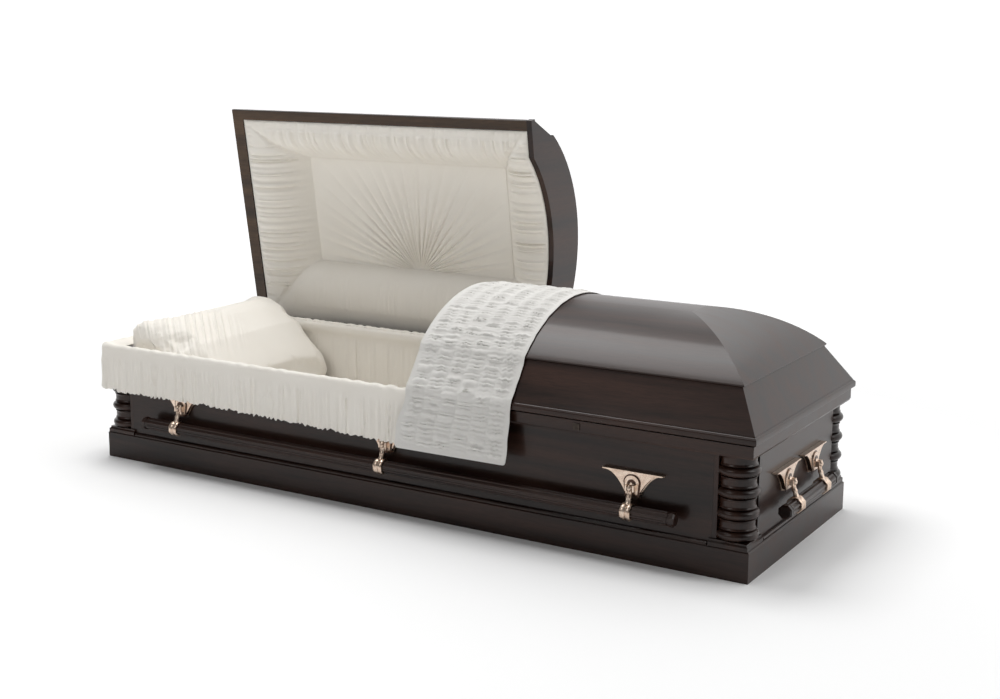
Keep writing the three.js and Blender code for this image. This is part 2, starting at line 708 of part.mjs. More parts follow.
// Wing-shaped backplate with a raised arch and two ears for the arm
function lugGeometry() {
  const half = LUG_WIDTH / 2;
  const wing = [
    [-half, LUG_TOP_Z - 3],
    [-half * 0.74, LUG_TOP_Z - 14],
    [-half * 0.5, LUG_TOP_Z - 28],
    [-half * 0.34, LUG_TOP_Z - 46],
    [-half * 0.24, LUG_BOTTOM_Z],
  ];
  const mirrored = wing.map(([x, z]) => [-x, z]).reverse();
  const outline = [[-half, LUG_TOP_Z], ...wing, ...mirrored, [half, LUG_TOP_Z]];
  const plate = plateOutward(outline, -FIT, LUG_PLATE);
  const arch = [];
  for (let k = 0; k <= LUG_ARCH_STEPS; k += 1) {
    const angle = (Math.PI * k) / LUG_ARCH_STEPS;
    const z = HANDLE_PIVOT_Z + LUG_ARCH_RISE + LUG_ARCH_HALF * Math.sin(angle) * 0.9;
    arch.push([LUG_ARCH_HALF * Math.cos(angle), z]);
  }
  const footHalf = LUG_ARCH_HALF * 0.8;
  const footZ = LUG_BOTTOM_Z + 4;
  arch.push([-footHalf, footZ], [footHalf, footZ]);
  const boss = plateOutward(arch, -FIT, LUG_BOSS);
  const earIn = ARM_WIDTH / 2 + EAR_PLAY;
  const earOut = earIn + EAR_THICKNESS;
  const reach = -HANDLE_PIVOT_OUT - EAR_REACH;
  const low = HANDLE_PIVOT_Z - EAR_HALF_HEIGHT;
  const high = HANDLE_PIVOT_Z + EAR_HALF_HEIGHT;
  const root = -LUG_BOSS + 2;
  const ears = [[-earOut, -earIn], [earIn, earOut]].map((span) => box(...span, reach, root, low, high));
  return join(plate, boss, ...ears);
}

// Arm from the eye between the ears down to the clasp around the bar
function armGeometry() {
  const eye = rod(EYE_RADIUS, ARM_WIDTH, 12, -HANDLE_PIVOT_OUT, HANDLE_PIVOT_Z);
  const sunk = BAR_Z + BAR_RADIUS + (CLASP_RADIUS - BAR_RADIUS) / 2;
  const side = [
    [SHANK_HALF - HANDLE_PIVOT_OUT - 2, HANDLE_PIVOT_Z - 4],
    [SHANK_HALF - BAR_OUT, sunk],
    [-SHANK_HALF - BAR_OUT, sunk],
    [-SHANK_HALF - HANDLE_PIVOT_OUT + 1, HANDLE_PIVOT_Z],
  ];
  const shank = plateAlongX(side, -ARM_WIDTH / 2, ARM_WIDTH);
  const ring = toManifold(rod(CLASP_RADIUS, CLASP_WIDTH, 16, -BAR_OUT, BAR_Z));
  const solid = ring.add(toManifold(shank)).add(toManifold(eye));
  const bore = toManifold(rod(BAR_RADIUS + FIT, 2 * CLASP_WIDTH, BAR_SIDES, -BAR_OUT, BAR_Z));
  return fromManifold(solid.subtract(bore));
}

function barGeometry(length) {
  const bar = rod(BAR_RADIUS, length, BAR_SIDES, -BAR_OUT, BAR_Z);
  const middle = (length - BAR_CAP_LENGTH) / 2;
  const radius = BAR_RADIUS + BAR_CAP_STEP;
  const caps = [-middle, middle].map((x) => rod(radius, BAR_CAP_LENGTH, BAR_SIDES, -BAR_OUT, BAR_Z, x));
  return join(bar, ...caps);
}

function buildHandle(name, arms, length, face, turn) {
  const group = new THREE.Group();
  group.rotation.z = turn;
  group.position.set(face * Math.sin(turn), -face * Math.cos(turn), 0);
  casket.add(group);
  arms.forEach((x, n) => {
    add(group, `lug_${name}_${n + 1}`, lugGeometry().translate(x, 0, 0), 'copper');
    add(group, `arm_${name}_${n + 1}`, armGeometry().translate(x, 0, 0), 'copper');
  });
  add(group, `bar_${name}`, barGeometry(length), 'walnutBar');
}

// Padded lining of the body, wrapped around the corner posts
function buildBodyLining() {
  const outside = openingPath(FIT, 0, 0);
  const inside = openingPath(FIT + LINING_THICKNESS, 0, 0);
  const rows = outside.map((station, n) => [
    [...station.inside, panelBottom],
    [...station.inside, RAIL_TOP],
    [...inside[n].inside, RAIL_TOP],
    [...inside[n].inside, panelBottom],
  ]);
  add(casket, 'body_lining', sweep(rows, [], true), 'crepe');
}

function buildBedding() {
  const halfX = MATTRESS_LENGTH / 2;
  const halfY = MATTRESS_WIDTH / 2;
  const mattress = box(-halfX, halfX, -halfY, halfY, BOTTOM_THICKNESS + FIT, MATTRESS_TOP);
  add(casket, 'mattress', mattress, 'crepe');
  const base = MATTRESS_TOP + FIT;
  const profile = [
    [-0.215, 0.0],
    [0.532, 0.0],
    [0.519, 0.288],
    [0.389, 0.514],
    [0.215, 0.778],
    [0.0, 0.959],
    [-0.196, 1.0],
    [-0.37, 0.901],
    [-0.468, 0.77],
    [-0.468, 0.144],
    [-0.215, 0.103],
  ].map(([x, z]) => [x * PILLOW_DEPTH, z * PILLOW_HEIGHT]);
  const stations = [-1, -0.8, 0.8, 1];
  const rows = stations.map((s) => {
    const size = Math.abs(s) === 1 ? PILLOW_END_SHRINK : 1;
    const y = (s * PILLOW_WIDTH) / 2;
    return profile.map(([x, z]) => [PILLOW_CREST_X + x * size, y, base + z * size]);
  });
  add(casket, 'pillow', sweep(rows, profile), 'crepe');
}

// Skirt of cloth folded over the rail, along the front and around the head end
function buildApron() {
  const outY = railY + APRON_GAP;
  const outX = railX + APRON_GAP;
  const low = RAIL_TOP + FIT;
  const high = low + APRON_TOP_CLOTH;
  const section = [
    [0, APRON_HEM_Z],
    [APRON_HANG_CLOTH, APRON_HEM_Z],
    [APRON_HANG_CLOTH, high - APRON_SHOULDER],
    [APRON_HANG_CLOTH - APRON_SHOULDER, high],
    [innerY - railY, high],
    [innerY - railY, low],
    [0, low],
  ];
  const rows = [
    section.map(([out, z]) => [APRON_END_X, -(outY + out), z]),
    section.map(([out, z]) => [-(outX + out), -(outY + out), z]),
    section.map(([out, z]) => [-(outX + out), APRON_BACK_Y, z]),
  ];
  add(casket, 'apron', sweep(rows, section), 'crepe');
}

// Pushes an open path sideways by a distance, to its left
function offsetPath(path, distance) {
  return path.map(([y, z], n) => {
    const [py, pz] = path[Math.max(0, n - 1)];
    const [ny, nz] = path[Math.min(path.length - 1, n + 1)];
    const length = Math.hypot(ny - py, nz - pz);
    return [y - ((nz - pz) / length) * distance, z + ((ny - py) / length) * distance];
  });
}

// Throw that lies over the foot lid and hangs down in front
function buildOverlay(parent) {
  const shoulder = Math.max(SKIRT_TOP_WIDTH, CROWN_WIDTH) / 2;
  const arc = crownArc(CROWN_WIDTH / 2, CROWN_EDGE_TOP, CROWN_STEPS, 0);
  const half = [[shoulder, SKIRT_TOP], ...arc];
  const path = [
    [-OVERLAY_HEM_Y, OVERLAY_HEM_Z],
    [-OVERLAY_HEM_Y + OVERLAY_HANG_SLOPE, OVERLAY_HEM_Z + OVERLAY_HANG_BEND],
    [-rimY - 1, RIM_BOTTOM - RIM_EASE],
    [-rimY, RIM_TOP],
    ...half.map(([y, z]) => [-y, z]),
    ...half.slice(0, -1).reverse(),
    [rimY - OVERLAY_BACK_INSET, RIM_TOP + OVERLAY_BACK_INSET],
  ];
  const near = offsetPath(path, OVERLAY_GAP);
  const far = offsetPath(path, OVERLAY_GAP + OVERLAY_THICKNESS);
  const outline = [...near, ...far.reverse()];
  const start = LID_CUT_X + LID_CUT_GAP / 2;
  add(parent, 'overlay', plateAlongX(outline, start, OVERLAY_LENGTH), 'crepe');
}

function buildLatch() {
  const face = -railY - FIT;
  const low = LATCH_Z - LATCH_HALF;
  const high = LATCH_Z + LATCH_HALF;
  const plate = box(LATCH_X - LATCH_HALF, LATCH_X + LATCH_HALF, face - LATCH_THICKNESS, face, low, high);
  add(casket, 'latch_plate', plate, 'steel');
}

// Lids are drawn closed and then turned about the hinge line
function lidGroup(degrees) {
  const turned = new THREE.Group();
  turned.position.set(0, HINGE_Y, HINGE_Z);
  turned.rotation.x = THREE.MathUtils.degToRad(-degrees);
  casket.add(turned);
  const closed = new THREE.Group();
  closed.position.set(0, -HINGE_Y, -HINGE_Z);
  turned.add(closed);
  return closed;
}

buildBase();
buildWalls();
buildColumns();
buildRail();
buildBodyLining();
buildBedding();
buildApron();
buildLatch();

const headLid = lidGroup(HEAD_LID_OPEN_DEGREES);
buildWoodenLid(headLid, 'head_lid', -1);
buildHeadLining(headLid);

const footLid = lidGroup(0);
buildWoodenLid(footLid, 'foot_lid', 1);
buildFootLining(footLid);
buildOverlay(footLid);

const headHinge = hingeLeaves(HEAD_HINGE_FROM, HEAD_HINGE_TO);
add(casket, 'head_hinge_body_leaf', headHinge.body, 'steel');
add(headLid, 'head_hinge_lid_leaf', headHinge.lid, 'steel');
const footHinge = hingeLeaves(FOOT_HINGE_FROM, FOOT_HINGE_TO);
add(casket, 'foot_hinge_body_leaf', footHinge.body, 'steel');
add(footLid, 'foot_hinge_lid_leaf', footHinge.lid, 'steel');

const sideArms = [-SIDE_ARM_SPACING, 0, SIDE_ARM_SPACING];
const endArms = [-END_ARM_SPACING / 2, END_ARM_SPACING / 2];
buildHandle('front', sideArms, SIDE_BAR_LENGTH, halfBodyY, 0);
buildHandle('back', sideArms, SIDE_BAR_LENGTH, halfBodyY, Math.PI);
buildHandle('foot', endArms, END_BAR_LENGTH, halfBodyX, Math.PI / 2);
buildHandle('head', endArms, END_BAR_LENGTH, halfBodyX, -Math.PI / 2);

export default casket;
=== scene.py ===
"""Half-couch funeral casket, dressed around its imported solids."""
import logging
import math
from dataclasses import dataclass, field
from enum import Enum

import bmesh
import bpy
import numpy as np
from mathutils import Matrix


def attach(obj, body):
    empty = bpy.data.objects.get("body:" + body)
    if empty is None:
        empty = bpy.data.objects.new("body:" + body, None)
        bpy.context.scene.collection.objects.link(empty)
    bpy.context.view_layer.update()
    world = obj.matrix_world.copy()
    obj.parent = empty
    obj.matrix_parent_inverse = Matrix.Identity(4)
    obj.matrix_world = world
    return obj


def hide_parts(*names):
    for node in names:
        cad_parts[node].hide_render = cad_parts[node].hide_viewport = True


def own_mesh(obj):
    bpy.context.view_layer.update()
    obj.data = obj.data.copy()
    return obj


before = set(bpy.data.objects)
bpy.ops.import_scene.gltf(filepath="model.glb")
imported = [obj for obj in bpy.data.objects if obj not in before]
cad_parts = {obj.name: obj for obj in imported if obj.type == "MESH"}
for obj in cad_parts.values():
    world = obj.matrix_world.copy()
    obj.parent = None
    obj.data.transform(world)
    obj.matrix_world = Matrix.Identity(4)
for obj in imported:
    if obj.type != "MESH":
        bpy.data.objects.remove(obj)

log = logging.getLogger("casket")
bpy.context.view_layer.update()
MM = 0.001  # one millimetre in metres
HINGE = (376.0, 313.0)  # Y and Z of the lids' hinge line
OPEN_DEGREES = 80.6  # opening angle of the head lid in the photograph
RAIL_CLEAR = 349.5  # height above the rails that a closed lid's cloth keeps
MIX_A, MIX_B, MIX_OUT = 6, 7, 2  # colour sockets of the Mix node
Faces = list[tuple[int, ...]]
Skin = tuple[np.ndarray, Faces]


class Body(Enum):
    """Moving bodies that a piece can ride on."""

    CASKET = "casket_body"
    HEAD_LID = "head_lid"
    FOOT_LID = "foot_lid"
    FRONT = "handle_front"
    BACK = "handle_back"
    FOOT = "handle_foot"
    HEAD = "handle_head"


# Body, end along X, X of the cut and opening angle of each lid.
LIDS = ((Body.HEAD_LID, -1, 67.3, OPEN_DEGREES), (Body.FOOT_LID, 1, 105.9, 0.0))


class Grain(Enum):
    """Direction of the wood grain, as the stretch of its pattern."""

    LENGTH = (0.07, 1.0, 1.0)
    WIDTH = (1.0, 0.07, 1.0)
    HEIGHT = (1.0, 1.0, 0.07)


def smooth_step(value: np.ndarray, low: float, high: float) -> np.ndarray:
    """Ease from 0 to 1.

    Args:
        value: Values to ease.
        low: Where the ease starts.
        high: Where it ends.

    Returns:
        The eased values.
    """
    t = np.clip((value - low) / (high - low), 0.0, 1.0)
    return t * t * (3.0 - 2.0 * t)


def wander(value: np.ndarray, seed: int, waves: int = 5) -> np.ndarray:
    """Smooth seeded noise along a line, between about -1 and 1.

    Args:
        value: Positions, with features about one unit long.
        seed: Seed of the waves.
        waves: Number of sine waves added up.

    Returns:
        The noise at each position.
    """
    rng = np.random.default_rng(seed)
    total = np.zeros_like(value, dtype=float)
    for _ in range(waves):
        total += np.sin(value * rng.uniform(0.5, 2.4) * math.tau / 2 + rng.uniform(0, math.tau))
    return total / math.sqrt(waves)


def pleats(place: np.ndarray, pitch: float, seed: int, sharp: float = 0.7) -> np.ndarray:
    """Uneven gathered folds with round crests and tight valleys.

    Args:
        place: Distance along the gather, in millimetres.
        pitch: Mean spacing of the folds.
        seed: Seed of the unevenness.
        sharp: Power of the crest; lower is rounder.

    Returns:
        Height of the folds, from 0 in a valley to 1 on a crest.
    """
    phase = place / pitch + 0.34 * wander(place / (pitch * 2.6), seed)
    size = 0.72 + 0.28 * wander(place / (pitch * 1.7), seed + 1)
    return np.abs(np.sin(phase * math.pi)) ** sharp * np.clip(size, 0.25, 1.15)


def running_length(line: np.ndarray) -> np.ndarray:
    """Distance along a line at each of its corners.

    Args:
        line: Corners, n by 2.

    Returns:
        The distances, from 0.
    """
    return np.concatenate([[0], np.cumsum(np.linalg.norm(np.diff(line, axis=0), axis=1))])


def shell(front: np.ndarray, back: np.ndarray, loop: bool = False) -> Skin:
    """Join two equal grids of points along their borders into one closed skin.

    Args:
        front: Grid of points, rows by columns by 3.
        back: Grid of the same size behind it.
        loop: Whether the last row meets the first.

    Returns:
        Points and faces.
    """
    rows, cols, _ = front.shape
    half = rows * cols
    points = np.vstack([front.reshape(-1, 3), back.reshape(-1, 3)])
    index = np.arange(half).reshape(rows, cols)
    if loop:
        index = np.vstack([index, index[:1]])
    a, b, c, d = index[:-1, :-1], index[:-1, 1:], index[1:, 1:], index[1:, :-1]
    parts = [np.stack([a, b, c, d], -1).reshape(-1, 4), np.stack([d, c, b, a], -1).reshape(-1, 4) + half]
    edges = [(index[:-1, 0], index[1:, 0]), (index[1:, -1], index[:-1, -1])]
    if not loop:
        edges += [(index[0, 1:], index[0, :-1]), (index[-1, :-1], index[-1, 1:])]
    parts += [np.stack([p, q, q + half, p + half], -1) for p, q in edges]
    return points, [tuple(face) for face in np.vstack(parts).tolist()]


def merge(*skins: Skin) -> Skin:
    """Put several skins into one.

    Args:
        *skins: Points and faces of each.

    Returns:
        Points and faces of all.
    """
    points, faces, start = [], [], 0
    for where, what in skins:
        points.append(where)
        faces += [tuple(n + start for n in face) for face in what]
        start += len(where)
    return np.vstack(points), faces


def tube(rings: list[np.ndarray]) -> Skin:
    """Skin a row of equal rings and close both ends.

    Args:
        rings: Outlines of equal length, each n by 3.

    Returns:
        Points and faces.
    """
    size = len(rings[0])
    faces: Faces = [tuple(range(size - 1, -1, -1)), tuple(range((len(rings) - 1) * size, len(rings) * size))]
    for r in range(len(rings) - 1):
        for i in range(size):
            j = (i + 1) % size
            faces.append((r * size + i, r * size + j, (r + 1) * size + j, (r + 1) * size + i))
    return np.vstack(rings), faces


def turned(points: np.ndarray, degrees: float, centre: tuple[float, float] = HINGE) -> np.ndarray:
    """Turn points about a line along X.

    Args:
        points: Points in millimetres.
        degrees: Opening angle of the lid.
        centre: Y and Z of the line.

    Returns:
        The turned points.
    """
    angle = math.radians(degrees)
    out = points.copy()
    dy, dz = points[..., 1] - centre[0], points[..., 2] - centre[1]
    out[..., 1] = centre[0] + dy * math.cos(angle) + dz * math.sin(angle)
    out[..., 2] = centre[1] - dy * math.sin(angle) + dz * math.cos(angle)
    return out


def place(name: str, skin: Skin, finish: bpy.types.Material, slot: str, body: Body,
          nodes: tuple[str, ...] = (), sharp: float = 35.0) -> bpy.types.Object:
    """Make one piece from a skin in millimetres and ride it on its body.

    Args:
        name: Piece name.
        skin: Points and faces.
        finish: Material.
        slot: Not used.
        body: Body that carries it.
        nodes: CAD nodes that it stands for.
        sharp: Angle in degrees above which an edge stays crisp.

    Returns:
        The new object.
    """
    mesh = bpy.data.meshes.new(name)
    mesh.from_pydata((skin[0] * MM).tolist(), [], skin[1])
    work = bmesh.new()
    work.from_mesh(mesh)
    if work.calc_volume(signed=True) < 0:
        bmesh.ops.reverse_faces(work, faces=work.faces)
    work.to_mesh(mesh)
    work.free()
    mesh.shade_smooth()
    mesh.set_sharp_from_angle(angle=math.radians(sharp))
    mesh.materials.append(finish)
    piece = bpy.data.objects.new(name, mesh)
    bpy.context.scene.collection.objects.link(piece)
    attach(piece, body.value)
    if nodes:
        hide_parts(*nodes)
    log.info("%s: %d faces on %s", name, len(mesh.polygons), body.value)
    return piece


def cushion(name: str, skin: Skin, finishes: "Finishes", body: Body, nodes: tuple[str, ...],
            sharp: float = 75.0) -> bpy.types.Object:
    """Make one padded piece of crepe.

    Args:
        name: Piece name.
        skin: Points and faces.
        finishes: Materials.
        body: Body that carries it.
        nodes: CAD nodes that it stands for.
        sharp: Angle in degrees above which an edge stays crisp.

    Returns:
        The new object.
    """
    piece = place(name, skin, finishes.crepe, "crepe", body, nodes, sharp)
    return piece


class Graph:
    """Short hand for adding and linking the nodes of one tree."""

    def __init__(self, tree: bpy.types.NodeTree) -> None:
        """Keep the tree."""
        self.tree = tree

    def add(self, kind: str, inputs: dict | None = None, **settings: object) -> bpy.types.Node:
        """Add a node.

        Args:
            kind: Node type name.
            inputs: Values or output sockets, by input name or number.
            **settings: Attributes of the node.

        Returns:
            The node.
        """
        node = self.tree.nodes.new(kind)
        for key, value in settings.items():
            setattr(node, key, value)
        self.feed(node, inputs or {})
        return node

    def feed(self, node: bpy.types.Node, inputs: dict) -> None:
        """Set or link inputs of a node.

        Args:
            node: The node.
            inputs: Values or output sockets, by input name or number.
        """
        for key, value in inputs.items():
            if isinstance(value, bpy.types.NodeSocket):
                self.tree.links.new(value, node.inputs[key])
            else:
                node.inputs[key].default_value = value


def shader_group(name: str, inputs: dict[str, float | tuple], outputs: dict[str, str]) -> tuple:
    """Start a shader node group with named sockets.

    Args:
        name: Group name.
        inputs: Default of each input; four numbers make a colour, three a vector.
        outputs: Socket type of each output.

    Returns:
        The tree, its graph, its input node and its output node.
    """
    tree = bpy.data.node_groups.new(name, "ShaderNodeTree")
    for label, value in inputs.items():
        kinds = {4: "NodeSocketColor", 3: "NodeSocketVector"}
        kind = kinds[len(value)] if isinstance(value, tuple) else "NodeSocketFloat"
        tree.interface.new_socket(label, in_out="INPUT", socket_type=kind).default_value = value
    for label, kind in outputs.items():
        tree.interface.new_socket(label, in_out="OUTPUT", socket_type=kind)
    graph = Graph(tree)
    return tree, graph, graph.add("NodeGroupInput"), graph.add("NodeGroupOutput")


def grain_group() -> bpy.types.NodeTree:
    """Wood grain as colour, roughness and height.

    Returns:
        The node group.
    """
    tree, g, given, out = shader_group(
        "Walnut grain",
        {"Vector": (0.0, 0.0, 0.0), "Dark": (0.02, 0.01, 0.008, 1.0), "Light": (0.08, 0.04, 0.03, 1.0),
         "Scale": 18.0},
        {"Color": "NodeSocketColor", "Roughness": "NodeSocketFloat", "Height": "NodeSocketFloat"})
    warp = g.add("ShaderNodeTexNoise", {"Vector": given.outputs["Vector"], "Scale": 3.0, "Detail": 2.0})
    bent = g.add("ShaderNodeVectorMath", {0: warp.outputs["Color"], 1: (0.12, 0.12, 0.12)},
                 operation="MULTIPLY")
    moved = g.add("ShaderNodeVectorMath", {0: given.outputs["Vector"], 1: bent.outputs[0]}, operation="ADD")
    bands = g.add("ShaderNodeTexNoise", {"Vector": moved.outputs[0], "Scale": given.outputs["Scale"],
                                         "Detail": 5.0, "Roughness": 0.62})
    pores = g.add("ShaderNodeTexNoise", {"Vector": moved.outputs[0], "Scale": 420.0, "Detail": 2.0})
    tone = g.add("ShaderNodeMapRange", {"Value": bands.outputs["Fac"], "From Min": 0.34, "From Max": 0.68})
    pore = g.add("ShaderNodeMapRange", {"Value": pores.outputs["Fac"], "From Min": 0.3, "From Max": 0.6,
                                        "To Min": 0.72, "To Max": 1.0})
    colour = g.add("ShaderNodeMix", {0: tone.outputs[0], MIX_A: given.outputs["Dark"],
                                     MIX_B: given.outputs["Light"]}, data_type="RGBA")
    scaled = g.add("ShaderNodeVectorMath", {0: colour.outputs[MIX_OUT], "Scale": pore.outputs[0]},
                   operation="SCALE")
    rough = g.add("ShaderNodeMapRange", {"Value": tone.outputs[0], "To Min": 0.30, "To Max": 0.38})
    g.feed(out, {"Color": scaled.outputs[0], "Roughness": rough.outputs[0], "Height": pore.outputs[0]})
    return tree


def weave_group() -> bpy.types.NodeTree:
    """Crepe cloth as colour and height: crinkled threads with soft shade changes.

    Returns:
        The node group.
    """
    tree, g, given, out = shader_group(
        "Crepe weave",
        {"Vector": (0.0, 0.0, 0.0), "Cloth": (0.8, 0.75, 0.66, 1.0), "Shade": (0.66, 0.6, 0.5, 1.0),
         "Thread": 900.0},
        {"Color": "NodeSocketColor", "Height": "NodeSocketFloat"})
    fine = g.add("ShaderNodeTexNoise", {"Vector": given.outputs["Vector"], "Scale": given.outputs["Thread"],
                                        "Detail": 2.0, "Distortion": 0.8})
    crinkle = g.add("ShaderNodeTexVoronoi", {"Vector": given.outputs["Vector"], "Scale": 260.0})
    broad = g.add("ShaderNodeTexNoise", {"Vector": given.outputs["Vector"], "Scale": 9.0, "Detail": 3.0})
    fade = g.add("ShaderNodeMapRange", {"Value": broad.outputs["Fac"], "From Min": 0.3, "From Max": 0.75,
                                        "To Max": 0.32})
    colour = g.add("ShaderNodeMix", {0: fade.outputs[0], MIX_A: given.outputs["Cloth"],
                                     MIX_B: given.outputs["Shade"]}, data_type="RGBA")
    height = g.add("ShaderNodeMath", {0: fine.outputs["Fac"], 1: crinkle.outputs["Distance"]},
                   operation="ADD")
    g.feed(out, {"Color": colour.outputs[MIX_OUT], "Height": height.outputs[0]})
    return tree


def floor_group() -> bpy.types.NodeTree:
    """Pale floor whose far part glows a little, so that it fades into the backdrop.

    Returns:
        The node group.
    """
    tree, g, given, out = shader_group(
        "Studio floor",
        {"Vector": (0.0, 0.0, 0.0), "Tone": (0.97, 0.97, 0.97, 1.0), "Near": 1.9, "Far": 5.0},
        {"Color": "NodeSocketColor", "Glow": "NodeSocketColor"})
    away = g.add("ShaderNodeVectorMath", {0: given.outputs["Vector"]}, operation="LENGTH")
    glow = g.add("ShaderNodeMapRange", {"Value": away.outputs["Value"], "From Min": given.outputs["Near"],
                                        "From Max": given.outputs["Far"]})
    g.feed(out, {"Color": given.outputs["Tone"], "Glow": glow.outputs[0]})
    return tree


@dataclass(frozen=True)
class Finish:
    """A surface finish built on one Principled shader.

    Attributes:
        name: Material name.
        group: Node group that varies over the surface, or None.
        values: Inputs of that group.
        constants: Plain values set on the shader.
        stretch: Stretch of the pattern along X, Y and Z.
        bump: Strength of the surface relief.
        depth: Height of the relief in metres.
    """

    name: str
    group: bpy.types.NodeTree | None = None
    values: dict = field(default_factory=dict)
    constants: dict = field(default_factory=dict)
    stretch: tuple[float, float, float] = (1.0, 1.0, 1.0)
    bump: float = 0.0
    depth: float = 0.0002

    def build(self) -> bpy.types.Material:
        """Make the material.

        Returns:
            The material.
        """
        material = bpy.data.materials.new(self.name)
        material.use_nodes = True
        shader = material.node_tree.nodes["Principled BSDF"]
        g = Graph(material.node_tree)
        g.feed(shader, self.constants)
        if self.group:
            where = g.add("ShaderNodeTexCoord")
            scale = g.add("ShaderNodeMapping", {"Vector": where.outputs["Object"], "Scale": self.stretch})
            pattern = g.add("ShaderNodeGroup", node_tree=self.group)
            g.feed(pattern, {"Vector": scale.outputs[0], **self.values})
            targets = {"Color": "Base Color", "Roughness": "Roughness", "Glow": "Emission Color"}
            for label, target in targets.items():
                if label in pattern.outputs:
                    g.feed(shader, {target: pattern.outputs[label]})
            if "Height" in pattern.outputs:
                relief = g.add("ShaderNodeBump", {"Strength": self.bump, "Distance": self.depth,
                                                  "Height": pattern.outputs["Height"]})
                g.feed(shader, {"Normal": relief.outputs[0]})
        return material


class Finishes:
    """All finishes of the casket."""

    def __init__(self) -> None:
        """Build the shared groups and the materials."""
        grain, weave = grain_group(), weave_group()
        lacquer = {"Coat Weight": 0.22, "Coat Roughness": 0.12, "Specular IOR Level": 0.22}
        stain = {"Dark": (0.010, 0.0044, 0.0032, 1.0), "Light": (0.042, 0.018, 0.0115, 1.0)}
        self.wood = {
            way: Finish(f"Walnut {way.name.lower()}", grain, stain, lacquer, way.value, 0.12, 0.0002).build()
            for way in Grain}
        pale = {"Dark": (0.032, 0.017, 0.008, 1.0), "Light": (0.095, 0.052, 0.024, 1.0)}
        self.inner_wood = Finish("Unstained edge", grain, pale, lacquer, Grain.LENGTH.value, 0.1).build()
        cloth = {"Roughness": 0.85, "Sheen Weight": 0.35, "Sheen Roughness": 0.4, "Specular IOR Level": 0.25}
        ivory = {"Cloth": (0.90, 0.865, 0.80, 1.0), "Shade": (0.84, 0.79, 0.71, 1.0)}
        self.crepe = Finish("Ivory crepe", weave, ivory, cloth, bump=0.25, depth=0.0004).build()
        grey = {"Cloth": (0.74, 0.725, 0.695, 1.0), "Shade": (0.66, 0.645, 0.61, 1.0)}
        self.throw = Finish("Throw crepe", weave, grey, cloth, bump=0.25, depth=0.0004).build()
        patina = {"Dark": (0.62, 0.45, 0.34, 1.0), "Light": (0.93, 0.77, 0.64, 1.0), "Scale": 60.0}
        metal = {"Metallic": 1.0, "Coat Weight": 0.2}
        self.copper = Finish("Rose copper", grain, patina, metal, bump=0.05).build()
        # Dark brown metal for the lug's groove, well and block sides: antique patina plus painted shade
        # standing in for the depth of those recesses.
        brown = {"Dark": (0.035, 0.02, 0.015, 1.0), "Light": (0.12, 0.065, 0.045, 1.0), "Scale": 80.0}
        self.patina_and_painted_shade = Finish("Antique recess with painted shade", grain, brown, metal, bump=0.1).build()
        bronze = {"Dark": (0.03, 0.024, 0.02, 1.0), "Light": (0.07, 0.055, 0.045, 1.0), "Scale": 80.0}
        self.bronze = Finish("Dark bronze", grain, bronze, {"Metallic": 0.9}, bump=0.05).build()


